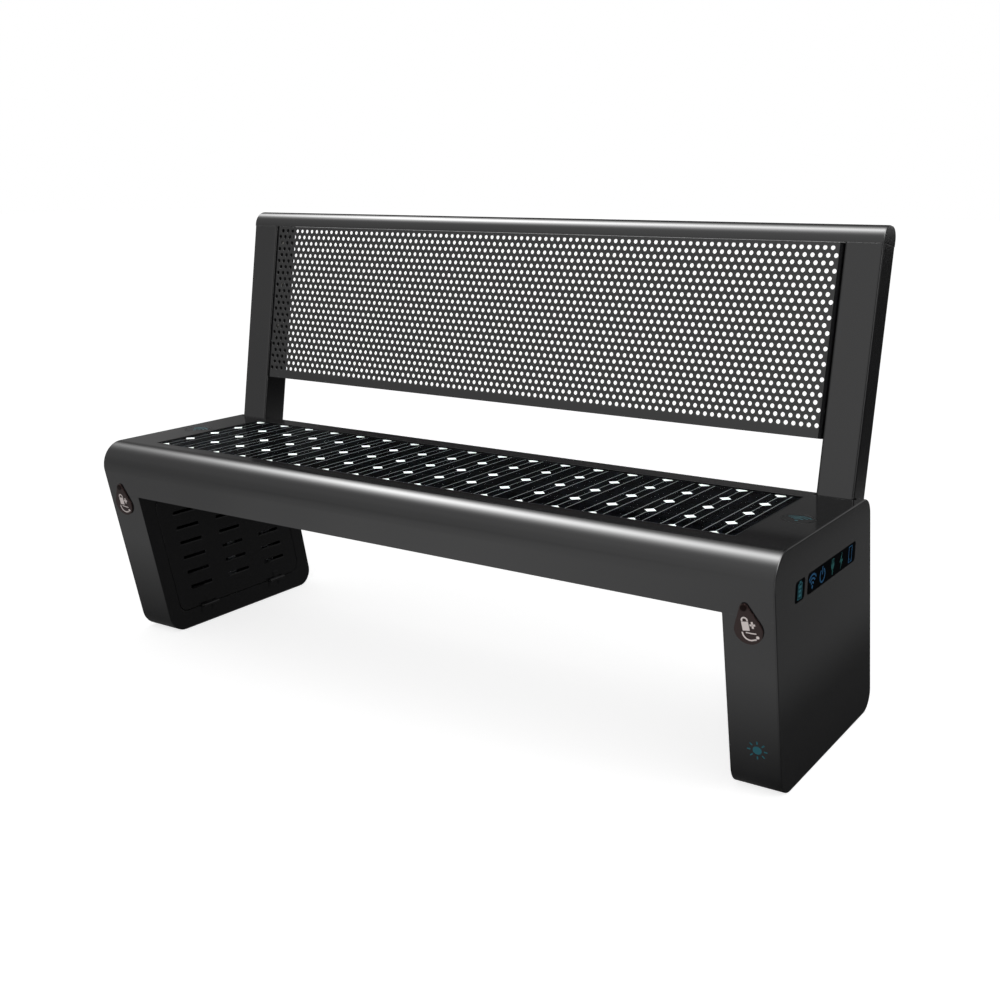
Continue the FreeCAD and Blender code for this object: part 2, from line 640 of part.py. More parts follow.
lock_z = "door_upper - lock_drop"
lock_y = "(%s + %s)/2" % (front_at(lock_z), rear_at(lock_z))
pins = []
for side in sides:
    start, width = at_panel(side, "-panel_wall", "0")
    blank = profile(door_outline, start, width, {index: "door_round" for index in all_corners})
    slot_x, slot_width = at_panel(side, "-panel_wall - 5", "5")
    slots = []
    lips = []
    for row in range(round(size("louvre_rows"))):
        z = "door_lower + louvre_first_row + %d*louvre_row_pitch - louvre_height/2" % row
        for column in range(round(size("louvre_columns"))):
            y = front_at(z) + " + door_margin + louvre_setback + %d*louvre_pitch" % column
            slots.append(box(slot_x, y, z, slot_width, "louvre_length", "louvre_height"))
            lips.append(louvre_lip(side, y, z))
    slots.append(rod(slot_x, lock_y, lock_z, "lock_radius + running_gap", slot_width, X_AXIS))
    door_bore = "hinge_pin_radius + running_gap"
    barrels = [hinge_part(side, "%s + %s" % (y, hinge_step), True, door_bore) for y in hinge_starts]
    node("louvred_door_" + side, fuse(cut(blank, *slots), *lips, *barrels))

    leaves = []
    for y in hinge_starts:
        leaves.append(hinge_part(side, y, False, "hinge_pin_radius"))
        leaves.append(hinge_part(side, "%s + 2*(%s)" % (y, hinge_step), False, "hinge_pin_radius"))
        pin_x = signed(side, leg_inner + " - hinge_barrel_radius")
        pins.append(rod(pin_x, y, hinge_z, "hinge_pin_radius", hinge_length, Y_AXIS))
    node("door_hinges_" + side, group(*leaves))

    head_x, head_width = at_panel(side, "0", "lock_head_wall")
    barrel_x, barrel_width = at_panel(side, "-panel_wall - lock_cam_gap - lock_cam_wall", "0")
    cam_x, cam_width = at_panel(side, "-panel_wall - lock_cam_gap - lock_cam_wall",
                                "-panel_wall - lock_cam_gap")
    head = rod(head_x, lock_y, lock_z, "lock_head_radius", head_width, X_AXIS)
    keyway_x, keyway_width = at_panel(side, "0.4*lock_head_wall", "lock_head_wall + 1")
    keyway = box(keyway_x, lock_y + " - 1", lock_z + " - 4", keyway_width, 2, 8)
    barrel = rod(barrel_x, lock_y, lock_z, "lock_radius", barrel_width, X_AXIS)
    cam = box(cam_x, lock_y + " - lock_radius", lock_z + " - 6", cam_width, "lock_reach + lock_radius", 12)
    node("door_lock_" + side, cut(fuse(head, barrel, cam), keyway))
node("hinge_pins", group(*pins))


# Inner frame

# A square tube along the seat, from end panel to end panel.
def seat_rail(y):
    outer = box("-(%s)" % end_inner, y, rail_z, "2*(%s)" % end_inner, "seat_rail_size", "seat_rail_size")
    inner = box("-" + half, y + " + tube_wall", rail_z + " + tube_wall", "bench_length",
                "seat_rail_size - 2*tube_wall", "seat_rail_size - 2*tube_wall")
    return cut(outer, inner)


frame_lower = "seat_height - glass_wall - cell_wall - backsheet_wall - panel_frame_height"
rail_z = frame_lower + " - seat_rail_size"
rail_y = "front_corner + seat_rail_front"
node("seat_rail_front", seat_rail(rail_y))
node("seat_rail_rear", seat_rail(rail_y + " + seat_rail_spacing"))
bars = []
bar_z = frame_lower + " - cross_bar_size"
bar_y = rail_y + " + seat_rail_size"
bar_length = "seat_rail_spacing - seat_rail_size"
for number in (-1.5, -0.5, 0.5, 1.5):
    bar_x = "%s*cross_bar_pitch - cross_bar_size/2" % number
    outer = box(bar_x, bar_y, bar_z, "cross_bar_size", bar_length, "cross_bar_size")
    inner = box(bar_x + " + tube_wall", bar_y + " - 1", bar_z + " + tube_wall",
                "cross_bar_size - 2*tube_wall", bar_length + " + 2", "cross_bar_size - 2*tube_wall")
    bars.append(cut(outer, inner))
node("cross_bars", group(*bars))

post_middle_x = "bench_length/2 - post_inset - post_width/2"
foot_y = "back_front - (seat_height - post_foot_level)*tan(back_lean) + post_depth/2"
plate_depth = "post_depth + 2*foot_plate_margin"
plate_x = leg_hollow + " + 1"
plate_width = "leg_width - panel_wall - skin_wall - 2"


def foot_bolts(side, z, radius, length):
    bolt_x = signed(side, post_middle_x)
    across = []
    for step in (-1, 1):
        bolt_y = "%s + %d*(post_depth/2 + foot_plate_margin/2)" % (foot_y, step)
        across.append(rod(bolt_x, bolt_y, z, radius, length))
    return across


floor_plates = []
columns = []
feet = []
end_plates = []
bolts = []
for side in sides:
    start, width = reach(side, plate_x, "%s + %s" % (plate_x, plate_width))
    floor_plate = box(start, anchor_y + " - base_plate_depth/2", "skin_wall", width, "base_plate_depth",
                      "base_plate_wall")
    floor_plates.append(cut(floor_plate, *anchor_holes(side, 0, "skin_wall + base_plate_wall + 2")))
    under = "post_foot_level - foot_plate_wall"
    column_x = signed(side, post_middle_x) + " - column_size/2"
    column_y = foot_y + " - column_size/2"
    column_z = "skin_wall + base_plate_wall"
    column_height = "post_foot_level - foot_plate_wall - skin_wall - base_plate_wall"
    outer = box(column_x, column_y, column_z, "column_size", "column_size", column_height)
    inner = box(column_x + " + tube_wall", column_y + " + tube_wall", column_z + " - 1",
                "column_size - 2*tube_wall", "column_size - 2*tube_wall", column_height + " + 2")
    columns.append(cut(outer, inner))
    hole = "post_bolt_radius + bolt_clearance"
    foot = box(start, "%s - (%s)/2" % (foot_y, plate_depth), under, width, plate_depth, "foot_plate_wall")
    feet.append(cut(foot, *foot_bolts(side, under + " - 1", hole, "foot_plate_wall + 2")))
    start, width = reach(side, post_inner, post_outer)
    end_plate = box(start, "%s - (%s)/2" % (foot_y, plate_depth), "post_foot_level", width, plate_depth,
                    "foot_plate_wall")
    end_plates.append(cut(end_plate, *foot_bolts(side, "post_foot_level - 1", hole, "foot_plate_wall + 2")))
    shanks = foot_bolts(side, under + " - 8", "post_bolt_radius", "2*foot_plate_wall + 14")
    heads = foot_bolts(side, "post_foot_level + foot_plate_wall", "1.7*post_bolt_radius", 6)
    nuts = foot_bolts(side, under + " - 8", "1.7*post_bolt_radius", 8)
    bolts.extend(fuse(*parts) for parts in zip(shanks, heads, nuts))
node("base_plates", group(*floor_plates))
node("leg_columns", group(*columns))
node("post_feet", group(*feet))
node("post_end_plates", group(*end_plates))
node("post_bolts", group(*bolts))


# Leaning back

# Rows of holes: whole steps from the middle of the bench in odd rows, half a step over in even
# rows.
side_x = (size("bench_length") / 2 - size("post_inset") - size("post_width") - size("sheet_post_gap"))
flat_half = side_x - size("edge_round") - size("edge_flat")
sheet_height = (size("back_height") - size("top_rail_height") - size("sheet_rail_gap")
                - size("sheet_lower"))
row_span = sheet_height - size("hole_first_row") - size("hole_top_margin")
row_count = int(row_span // size("hole_row_pitch")) + 1
side_count = int((side_x - size("hole_side_margin")) // size("hole_pitch"))


def hole_places(row):
    steps = [step + (0.5 if row % 2 == 0 else 0) for step in range(-side_count - 1, side_count + 2)]
    places = [step * size("hole_pitch") for step in steps]
    return [x for x in places if abs(x) <= side_x - size("hole_side_margin")]


rail_lower = "back_height - top_rail_height"
post_bottom = "-(seat_height - post_foot_level)/cos(back_lean)"
screw_levels = ["sheet_lower + sheet_screw_first + %d*sheet_screw_pitch" % number for number in range(4)]
sheet_side = post_inner + " - sheet_post_gap"
sheet_upper = rail_lower + " - sheet_rail_gap"


def post_outline(inset):
    near, far, deep = inset, "post_width - %s" % inset, "post_depth - %s" % inset
    return [(near, near), (far, near), (far, deep), (near, deep)]


def post_rounds(radius):
    return {index: radius for index in all_corners}


screws = []
spacers = []
for side in sides:
    start, width = reach(side, post_inner, post_outer)
    bottom = post_bottom + " - 30"
    height = "%s - (%s)" % (rail_lower, bottom)
    outer = lean(profile(post_outline("0"), None, height, post_rounds("post_round"), "XY_Plane"),
                 start, 0, bottom)
    inner = lean(profile(post_outline("post_wall"), None, height + " + 2",
                         post_rounds("post_round - post_wall"), "XY_Plane"), start, 0, bottom + " - 1")
    below = box(start + " - 5", foot_y + " - base_depth", "post_foot_level + foot_plate_wall - base_depth",
                width + " + 10", "2*base_depth", "base_depth")
    holes = []
    inner_wall, depth = reach(side, post_inner + " - 1", post_inner + " + post_wall + 1")
    for z in screw_levels:
        holes.append(lean_rod(inner_wall, "sheet_screw_setback", z, "sheet_screw_radius", depth))
    node("backrest_post_" + side, cut(outer, inner, below, *holes))

    flat = sheet_side + " - edge_round - edge_flat"
    edge_corners = [
        (signed(side, flat), 0),
        (signed(side, sheet_side), 0),
        (signed(side, sheet_side), "edge_depth"),
        (signed(side, sheet_side + " - sheet_wall"), "edge_depth"),
        (signed(side, sheet_side + " - sheet_wall"), "sheet_wall"),
        (signed(side, flat), "sheet_wall"),
    ]
    edge = profile(edge_corners, None, "%s - sheet_lower" % sheet_upper,
                   {1: "edge_round", 4: "edge_round - sheet_wall"}, "XY_Plane")
    lean(edge, 0, 0, "sheet_lower")
    hole_x, depth = reach(side, sheet_side + " - sheet_wall - 1", sheet_side + " + 1")
    hole = "sheet_screw_radius + bolt_clearance"
    holes = [lean_rod(hole_x, "sheet_screw_setback", z, hole, depth) for z in screw_levels]
    node("sheet_edge_" + side, cut(edge, *holes))
    for z in screw_levels:
        shank_x, shank = reach(side, sheet_side + " - sheet_wall", post_inner + " + post_wall + 4")
        head_x, head = reach(side, sheet_side + " - 2*sheet_wall", sheet_side + " - sheet_wall")
        screws.append(fuse(lean_rod(shank_x, "sheet_screw_setback", z, "sheet_screw_radius", shank),
                           lean_rod(head_x, "sheet_screw_setback", z, "1.8*sheet_screw_radius", head)))
        gap_x, gap = reach(side, sheet_side, post_inner)
        spacers.append(cut(lean_rod(gap_x, "sheet_screw_setback", z, "2*sheet_screw_radius", gap),
                           lean_rod(gap_x + " - 1", "sheet_screw_setback", z, hole, gap + " + 2")))
node("sheet_screws", group(*screws))
node("sheet_spacers", group(*spacers))

rail_outline = [
    (0, rail_lower),
    (0, "back_height"),
    ("post_depth", "back_height"),
    ("post_depth", rail_lower),
]
rail_inside = [
    ("post_wall", rail_lower + " + post_wall"),
    ("post_wall", "back_height - post_wall"),
    ("post_depth - post_wall", "back_height - post_wall"),
    ("post_depth - post_wall", rail_lower + " + post_wall"),
]
rail_length = "2*(%s) - 2*post_wall" % post_outer
rail_rounds = {1: "top_rail_round", 2: "top_rail_rear_round"}
rail_blank = profile(rail_outline, None, rail_length, rail_rounds)
lean(rail_blank, "-(%s) + post_wall" % post_outer, 0, 0)
inside_rounds = {index: radius + " - post_wall" for index, radius in rail_rounds.items()}
rail_hollow = profile(rail_inside, None, rail_length + " + 10", inside_rounds)
lean(rail_hollow, "-(%s) - 2" % post_outer, 0, 0)
node("top_rail", cut(rail_blank, rail_hollow))
caps = []
for side in sides:
    start, width = reach(side, post_outer + " - post_wall", post_outer)
    cap_rim = ("far" if side == "right" else "near", "edge_rim")
    cap = profile(rail_outline, None, width, rail_rounds, rim=cap_rim)
    caps.append(lean(cap, start, 0, 0))
node("rail_end_caps", group(*caps))

# The perforated sheet is made up of one strip for each row of holes, so that the joints between
# the strips run midway between the rows; the strips are then joined to one solid.
strips = []
for row in range(row_count):
    level = size("hole_first_row") + row * size("hole_row_pitch")
    low = 0 if row == 0 else level - size("hole_row_pitch") / 2
    high = sheet_height if row == row_count - 1 else level + size("hole_row_pitch") / 2
    corners = [(-flat_half, low), (flat_half, low), (flat_half, high), (-flat_half, high), (-flat_half, low)]
    outline = Part.makePolygon([FreeCAD.Vector(x, 0, z) for x, z in corners])
    rims = []
    for x in hole_places(row):
        circle = Part.makeCircle(size("hole_radius"), FreeCAD.Vector(x, 0, level), Y_AXIS)
        rims.append(Part.Wire([circle]))
    strips.append(Part.Face([outline] + rims).extrude(FreeCAD.Vector(0, size("sheet_wall"), 0)))
perforated = shaped(strips[0].multiFuse(strips[1:]).Solids[0])
node("perforated_sheet", lean(perforated, 0, 0, "sheet_lower"))

node("sheet_hem", lean_box("-(%s) + edge_round + edge_flat" % sheet_side, "sheet_wall", "sheet_lower",
                           "2*(%s) - 2*edge_round - 2*edge_flat" % sheet_side, "hem_depth - sheet_wall",
                           "sheet_wall"))


# Solar panel in the seat

glass_z = "seat_height - glass_wall"
cells_z = glass_z + " - cell_wall"
backsheet_z = cells_z + " - backsheet_wall"
node("solar_glass", box(glass_left, glass_front, glass_z, glass_length, "glass_depth", "glass_wall"))
node("solar_backsheet", box(glass_left, glass_front, backsheet_z, glass_length, "glass_depth",
                            "backsheet_wall"))


# The solar cells have cut corners, which leave a white diamond where four of them meet. The grid
# of cells runs past the glass on all sides, and the outermost cells are trimmed at its edge.
def cell(column, row):
    left = size("cell_first_column") + column * size("cell_pitch_across") + size("cell_gap") / 2
    right = left + size("cell_pitch_across") - size("cell_gap")
    front = size("cell_first_row") + row * size("cell_pitch_deep") + size("cell_row_gap") / 2
    rear = front + size("cell_pitch_deep") - size("cell_row_gap")
    corner = size("cell_corner")
    points = [(left + corner, front), (right - corner, front), (right, front + corner),
              (right, rear - corner), (right - corner, rear), (left + corner, rear),
              (left, rear - corner), (left, front + corner), (left + corner, front)]
    outline = Part.makePolygon([FreeCAD.Vector(x, y, 0) for x, y in points])
    return Part.Face(outline).extrude(FreeCAD.Vector(0, 0, size("cell_wall")))


glass_width = size("bench_length") - size("glass_left_margin") - size("glass_right_margin")
full_columns = int((glass_width - size("cell_first_column")) // size("cell_pitch_across"))
edge_gap = size("cell_edge_gap")
inside = Part.makeBox(glass_width - 2 * edge_gap, size("glass_depth") - 2 * edge_gap, size("cell_wall"),
                      FreeCAD.Vector(edge_gap, edge_gap, 0))
cells = []
for column in range(-1, full_columns + 1):
    for row in range(-1, round(size("cell_rows")) + 1):
        cells.extend(cell(column, row).common(inside).Solids)
node("solar_cells", place(shaped(Part.makeCompound(cells)), glass_left, glass_front, cells_z))

gap_length = glass_length + " + 2*gasket_width"
gap_depth = "glass_depth + 2*gasket_width"
lap_length = gap_length + " + 2*panel_frame_lap"
lap_depth = gap_depth + " + 2*panel_frame_lap"
gap_x = glass_left + " - gasket_width"
gap_y = glass_front + " - gasket_width"
lap_x = gap_x + " - panel_frame_lap"
lap_y = gap_y + " - panel_frame_lap"
upstand = box(gap_x, gap_y, backsheet_z, gap_length, gap_depth, "seat_height - (%s)" % backsheet_z)
flange = box(lap_x, lap_y, backsheet_z, lap_length, lap_depth, "seat_height - skin_wall - (%s)" % backsheet_z)
middle = box(glass_left, glass_front, backsheet_z + " - 1", glass_length, "glass_depth", 20)
node("panel_gasket", cut(fuse(upstand, flange), middle))
frame_outer = box(lap_x, lap_y, frame_lower, lap_length, lap_depth, "panel_frame_height")
frame_inner = box(lap_x + " + panel_frame_width", lap_y + " + panel_frame_width", frame_lower + " - 1",
                  lap_length + " - 2*panel_frame_width", lap_depth + " - 2*panel_frame_width",
                  "panel_frame_height + 2")
node("panel_frame", cut(frame_outer, frame_inner))
junction_y = "%s + %s/2 - junction_box_size/2" % (glass_front, "glass_depth")
node("junction_box", box("-0.75*junction_box_size", junction_y, backsheet_z + " - junction_box_height",
                         "1.5*junction_box_size", "junction_box_size", "junction_box_height"))


# Wireless charging discs

coils = []
for side in sides:
    disc = rod(pad_x(side), pad_y, skin_under + " - pad_flange", "pad_radius", "skin_wall + pad_flange")
    rim = rod(pad_x(side), pad_y, skin_under + " - pad_flange", "pad_radius + pad_flange", "pad_flange")
    node("wireless_pad_" + side, fuse(disc, rim))
    coils.append(rod(pad_x(side), pad_y, skin_under + " - pad_flange - coil_height", "coil_radius",
                     "coil_height"))
node("charging_coils", group(*coils))


# Charging sockets with their swinging covers

along_face = "cos(atan(front_slope))"
outside = "-(cover_gap + cover_wall)"
pivots = []
for side in sides:
    x = cover_x(side)
    body = bore(x, socket_level, "socket_recess", "socket_radius", "socket_depth")
    shoulder = bore(x, socket_level, "skin_wall", "socket_radius + 4", 3)
    ports = []
    for step in (-1, 1):
        port = bind(doc.addObject("Part::Box", "Port"), Length="port_width", Width="port_depth + 1",
                    Height="port_height")
        port_x = "%s + %d*port_spacing/2 - port_width/2" % (x, step)
        ports.append(behind_front(port, port_x, "%s - port_height/2*%s" % (socket_level, along_face),
                                  "socket_recess - 1"))
    node("usb_socket_" + side, cut(fuse(body, shoulder), *ports))

    tilt = "cover_tilt" if side == "right" else "0"
    spread = "asin((cover_radius - cover_neck_radius)/cover_reach)"
    round_x = "%s + cover_reach*sin(%s)" % (x, tilt)
    round_level = "cover_level - cover_reach*cos(%s)*%s" % (tilt, along_face)
    corners = []
    for far, across in ((False, 1), (False, -1), (True, -1), (True, 1)):
        radius = "cover_radius" if far else "cover_neck_radius"
        reach_down = "cover_reach" if far else "0"
        u = "%d*%s*cos(%s)" % (across, radius, spread)
        v = "(%s*sin(%s) - %s)" % (radius, spread, reach_down)
        corners.append(("%s*cos(%s) - %s*sin(%s)" % (u, tilt, v, tilt), "%s*sin(%s) + %s*cos(%s)" % (u, tilt, v, tilt)))
    flanks = profile(corners, None, "cover_wall", None, "XY_Plane")
    behind_front(flanks, x, "cover_level", "-cover_gap", "90deg + atan(front_slope)")
    neck = bore(x, "cover_level", outside, "cover_neck_radius", "cover_wall")
    round_end = bore(round_x, round_level, outside, "cover_radius", "cover_wall")
    hole = bore(x, "cover_level", outside + " - 1", "pivot_radius + running_gap", "cover_wall + 2")
    node("port_cover_" + side, cut(fuse(flanks, neck, round_end), hole))

    shank = bore(x, "cover_level", outside, "pivot_radius", "cover_wall + cover_gap + skin_wall + 4")
    head = bore(x, "cover_level", outside + " - 1.5", "1.8*pivot_radius", 1.5)
    nut = bore(x, "cover_level", "skin_wall", "1.8*pivot_radius", 4)
    pivots.append(fuse(shank, head, nut))
node("cover_pivots", group(*pivots))


# Battery and electronics inside the legs

shelf_z = "skin_wall + base_plate_wall"
battery_x = "-bench_length/2 + skin_wall + battery_inset"
column_front = foot_y + " - column_size/2 - column_gap"
battery_y = column_front + " - battery_depth"
tray_outer = box(battery_x + " - panel_wall", battery_y + " - panel_wall", shelf_z,
                 "battery_width + 2*panel_wall", "battery_depth + 2*panel_wall", "tray_lip + panel_wall")
tray_inner = box(battery_x, battery_y, shelf_z + " + panel_wall", "battery_width", "battery_depth",
                 "tray_lip + 1")
node("battery_tray", cut(tray_outer, tray_inner))
case = box(battery_x, battery_y, shelf_z + " + panel_wall", "battery_width", "battery_depth",
           "battery_height")
battery_top = shelf_z + " + panel_wall + battery_height"
terminal_x = battery_x + " + battery_width/2"
terminals = [rod(terminal_x, "%s + %s*battery_depth" % (battery_y, share), battery_top, 6, 12)
             for share in (0.2, 0.8)]
node("battery", fuse(case, *terminals))
strap_z = shelf_z + " + panel_wall + tray_lip"
strap_y = battery_y + " + battery_depth/2 - strap_width/2"
strap_outer = box(battery_x + " - strap_wall", strap_y, strap_z, "battery_width + 2*strap_wall",
                  "strap_width", "battery_height - tray_lip + strap_wall")
strap_inner = box(battery_x, strap_y + " - 1", strap_z + " - 1", "battery_width", "strap_width + 2",
                  "battery_height - tray_lip + 1")
node("battery_strap", cut(strap_outer, strap_inner))

plate_face = end_inner + " - equipment_standoff - panel_wall"
equipment_y = column_front + " - equipment_depth"
backing = box(plate_face, equipment_y, "equipment_level", "panel_wall", "equipment_depth", "equipment_height")
standoffs = []
for y in (equipment_y + " + 12", equipment_y + " + equipment_depth - 12"):
    for z in ("equipment_level + 12", "equipment_level + equipment_height - 12"):
        standoffs.append(rod(plate_face + " + panel_wall", y, z, 5, "equipment_standoff", X_AXIS))
node("equipment_plate", fuse(backing, *standoffs))
node("charge_controller", box(plate_face + " - controller_width", equipment_y + " + 8",
                              "equipment_level + 30", "controller_width", "controller_depth",
                              "controller_height"))
fins = [box(plate_face + " - controller_width + 4", "%s + controller_depth + 21 + %d" % (equipment_y, 10 * step),
            "equipment_level + 40", "controller_width - 8", 4, "controller_height - 20")
        for step in range(6)]
converter_base = box(plate_face + " - 6", equipment_y + " + controller_depth + 16", "equipment_level + 36", 6,
                     "converter_depth", "controller_height - 12")
node("power_converter", fuse(converter_base, *fins))

conduit_y = rail_y + " + seat_rail_size + (seat_rail_spacing - seat_rail_size)/2"
conduit_z = bar_z + " - conduit_radius - conduit_drop"
conduit_start = "-(%s) + conduit_end_gap" % leg_inner
conduit_length = "2*(%s) - 2*conduit_end_gap" % leg_inner
conduit = rod(conduit_start, conduit_y, conduit_z, "conduit_radius", conduit_length, X_AXIS)
conduit_bore = rod(conduit_start + " - 1", conduit_y, conduit_z, "conduit_radius - 1.5",
                   conduit_length + " + 2", X_AXIS)
node("cable_conduit", cut(conduit, conduit_bore))
saddles = []
for number in (-1.5, -0.5, 0.5, 1.5):
    saddle_x = "%s*cross_bar_pitch - cross_bar_size/2" % number
    block = box(saddle_x, conduit_y + " - 1.5*conduit_radius", conduit_z + " - conduit_radius - 2",
                "cross_bar_size", "3*conduit_radius", "2*conduit_radius + 2 + conduit_drop")
    saddles.append(cut(block, rod(saddle_x + " - 1", conduit_y, conduit_z, "conduit_radius",
                                  "cross_bar_size + 2", X_AXIS)))
node("conduit_saddles", group(*saddles))


doc.recompute()
for item in doc.Objects:
    if "Invalid" in item.State or "Error" in item.State:
        raise RuntimeError("%s (%s) did not compute" % (item.Name, item.Label))
for name, item in nodes.items():
    if item.Shape.isNull() or not item.Shape.isValid():
        raise RuntimeError(name + " has no valid shape")
os.makedirs("parts", exist_ok=True)
for name, item in nodes.items():
    item.Shape.exportStep("parts/%s.step" % name)
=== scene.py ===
import math

import bmesh
import bpy
from mathutils import Matrix, Vector


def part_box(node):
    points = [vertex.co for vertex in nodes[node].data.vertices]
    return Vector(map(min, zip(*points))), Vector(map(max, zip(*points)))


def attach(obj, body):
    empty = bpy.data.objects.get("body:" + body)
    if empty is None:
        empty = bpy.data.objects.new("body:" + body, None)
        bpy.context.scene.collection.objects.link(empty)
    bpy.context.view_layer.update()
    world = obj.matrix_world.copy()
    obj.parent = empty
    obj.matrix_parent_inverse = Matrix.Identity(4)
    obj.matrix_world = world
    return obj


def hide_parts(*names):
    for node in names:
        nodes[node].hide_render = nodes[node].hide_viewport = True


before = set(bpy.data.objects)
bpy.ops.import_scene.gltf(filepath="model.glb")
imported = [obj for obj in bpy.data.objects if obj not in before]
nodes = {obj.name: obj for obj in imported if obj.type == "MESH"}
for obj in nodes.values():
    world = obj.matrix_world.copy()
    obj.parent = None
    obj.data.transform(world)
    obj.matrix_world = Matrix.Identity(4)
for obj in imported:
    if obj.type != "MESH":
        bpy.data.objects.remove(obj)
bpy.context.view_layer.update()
scene = bpy.context.scene
scene.view_settings.view_transform = "Standard"
mm = 0.001

# sockets of a Mix node that share their names: its two colours and their result, and its two numbers
firstColour, secondColour, mixedColour = 6, 7, 2
firstNumber, secondNumber = 2, 3


def linear(colour):
    # sRGB hex value to the linear colour that a shader takes
    parts = [int(colour[i:i + 2], 16) / 255 for i in (1, 3, 5)]
    return [p / 12.92 if p <= 0.04045 else ((p + 0.055) / 1.055) ** 2.4 for p in parts] + [1.0]


def addNode(tree, kind, inputs=None, **settings):
    # adds a shader node, sets its options, and fills its sockets with values or links
    node = tree.nodes.new("ShaderNode" + kind)
    for option, value in settings.items():
        setattr(node, option, value)
    for socket, value in (inputs or {}).items():
        if isinstance(value, bpy.types.NodeSocket):
            tree.links.new(value, node.inputs[socket])
        else:
            node.inputs[socket].default_value = value
    return node


def newMaterial(name, look):
    # a principled material with the plain values of its look, and its coordinates in metres.
    # A value that the look leaves out keeps its default
    material = bpy.data.materials.new(name)
    material.use_nodes = True
    tree = material.node_tree
    shader = tree.nodes["Principled BSDF"]
    shader.inputs["Base Color"].default_value = linear(look["colour"])
    shader.inputs["Roughness"].default_value = look["roughness"]
    for key, socket in (("metallic", "Metallic"), ("ior", "IOR"), ("specular", "Specular IOR Level")):
        if key in look:
            shader.inputs[socket].default_value = look[key]
    place = addNode(tree, "TexCoord").outputs["Object"]
    return material, tree, shader, place


def mottle(tree, shader, pattern, look):
    # a pattern of 0 to 1 moves the finish between its two close colours and its two roughnesses
    mix = addNode(tree, "Mix", {"Factor": pattern, firstColour: linear(look["colour"]),
                                secondColour: linear(look["colourWorn"])}, data_type="RGBA")
    tree.links.new(mix.outputs[mixedColour], shader.inputs["Base Color"])
    dull = addNode(tree, "MapRange", {"Value": pattern, "To Min": look["roughness"],
                                      "To Max": look["roughnessDull"]})
    tree.links.new(dull.outputs["Result"], shader.inputs["Roughness"])


def relieve(tree, shader, height, depth, edgeRound):
    # edges that catch the light, and a fine relief over the surface
    edge = addNode(tree, "Bevel", {"Radius": edgeRound}, samples=4)
    bump = addNode(tree, "Bump", {"Height": height, "Distance": depth, "Normal": edge.outputs["Normal"]})
    tree.links.new(bump.outputs["Normal"], shader.inputs["Normal"])


def dress(material, *names):
    # puts a material on pieces that keep the shape of the CAD model
    for name in names:
        slots = nodes[name].data.materials
        for index in range(len(slots)):
            slots[index] = material


def addPiece(name, mesh, material, body):
    # a piece of its own, which rides on a body
    piece = bpy.data.objects.new(name, mesh)
    scene.collection.objects.link(piece)
    mesh.materials.append(material)
    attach(piece, body)
    return piece


powderCoat = {
    "colour": "#111112", "colourWorn": "#141415", "roughness": 0.11, "roughnessDull": 0.14, "ior": 1.5,
    "peelSize": 2.4 * mm, "peelDepth": 0.006 * mm, "cloudSize": 180 * mm, "edgeRound": 0.8 * mm,
}


def makePowderCoat(name, look):
    # polyester powder coat, sprayed and stoved on sheet steel: an even dark film with a soft gloss,
    # faint orange peel in its reflections, and edges that the film rounds off
    material, tree, shader, place = newMaterial(name, look)
    cloud = addNode(tree, "TexNoise", {"Vector": place, "Scale": 1 / look["cloudSize"], "Detail": 4.0})
    mottle(tree, shader, cloud.outputs["Fac"], look)
    # peel is about 1 mm on the real film, drawn twice as coarse so that it shows
    peel = addNode(tree, "TexNoise", {"Vector": place, "Scale": 1 / look["peelSize"], "Detail": 1.0})
    relieve(tree, shader, peel.outputs["Fac"], look["peelDepth"], look["edgeRound"])
    return material


powderCoatedSteel = makePowderCoat("powderCoatedSteel", powderCoat)
dress(powderCoatedSteel, "seat_skin", "rear_skin", "leg_skin_left", "leg_skin_right", "end_panel_left",
      "end_panel_right", "inner_panel_left", "inner_panel_right", "underside_tray",
      "louvred_door_left", "louvred_door_right", "door_hinges_left", "door_hinges_right",
      "backrest_post_left", "backrest_post_right", "top_rail", "rail_end_caps", "sheet_hem",
      "perforated_sheet")

# the folded edges of the sheet lie in the gap beside the posts: their coat is painted darker and without gloss,
# as painted shade for the shadow in that gap
foldShadeCoat = dict(powderCoat, colour="#0a0a0b", colourWorn="#0c0c0d", roughness=0.5, roughnessDull=0.6,
                ior=1.15)
dress(makePowderCoat("foldShadePowderCoat", foldShadeCoat), "sheet_edge_left", "sheet_edge_right")

zincCoat = {"colour": "#9a9ea1", "colourWorn": "#b4b8ba", "metallic": 1.0, "roughness": 0.42,
            "roughnessDull": 0.58, "spangleSize": 9 * mm, "raggedSize": 8.3333 * mm,
            "crystalDepth": 0.004 * mm, "edgeRound": 0.5 * mm}


def makeZinc(look):
    # hot-dip galvanised steel: crystals of zinc with ragged edges, each a slightly different grey and gloss
    material, tree, shader, place = newMaterial("galvanisedSteel", look)
    ragged = addNode(tree, "TexNoise", {"Vector": place, "Scale": 1 / look["raggedSize"]})
    bent = addNode(tree, "VectorMath", {0: place, 1: ragged.outputs["Color"]}, operation="MULTIPLY")
    spangle = addNode(tree, "TexVoronoi", {"Vector": bent.outputs["Vector"],
                                           "Scale": 1 / look["spangleSize"]})
    grey = addNode(tree, "SeparateColor", {"Color": spangle.outputs["Color"]}).outputs["Red"]
    mottle(tree, shader, grey, look)
    relieve(tree, shader, grey, look["crystalDepth"], look["edgeRound"])
    return material


dress(makeZinc(zincCoat), "seat_rail_front", "seat_rail_rear", "cross_bars", "leg_columns", "base_plates",
      "post_feet", "post_end_plates", "battery_tray", "equipment_plate", "battery_strap")

plated = {"colour": "#a9a7a2", "colourWorn": "#c2c0ba", "metallic": 1.0, "roughness": 0.2,
          "roughnessDull": 0.34, "toolMark": 0.35 * mm, "markDepth": 0.006 * mm, "edgeRound": 0.3 * mm}


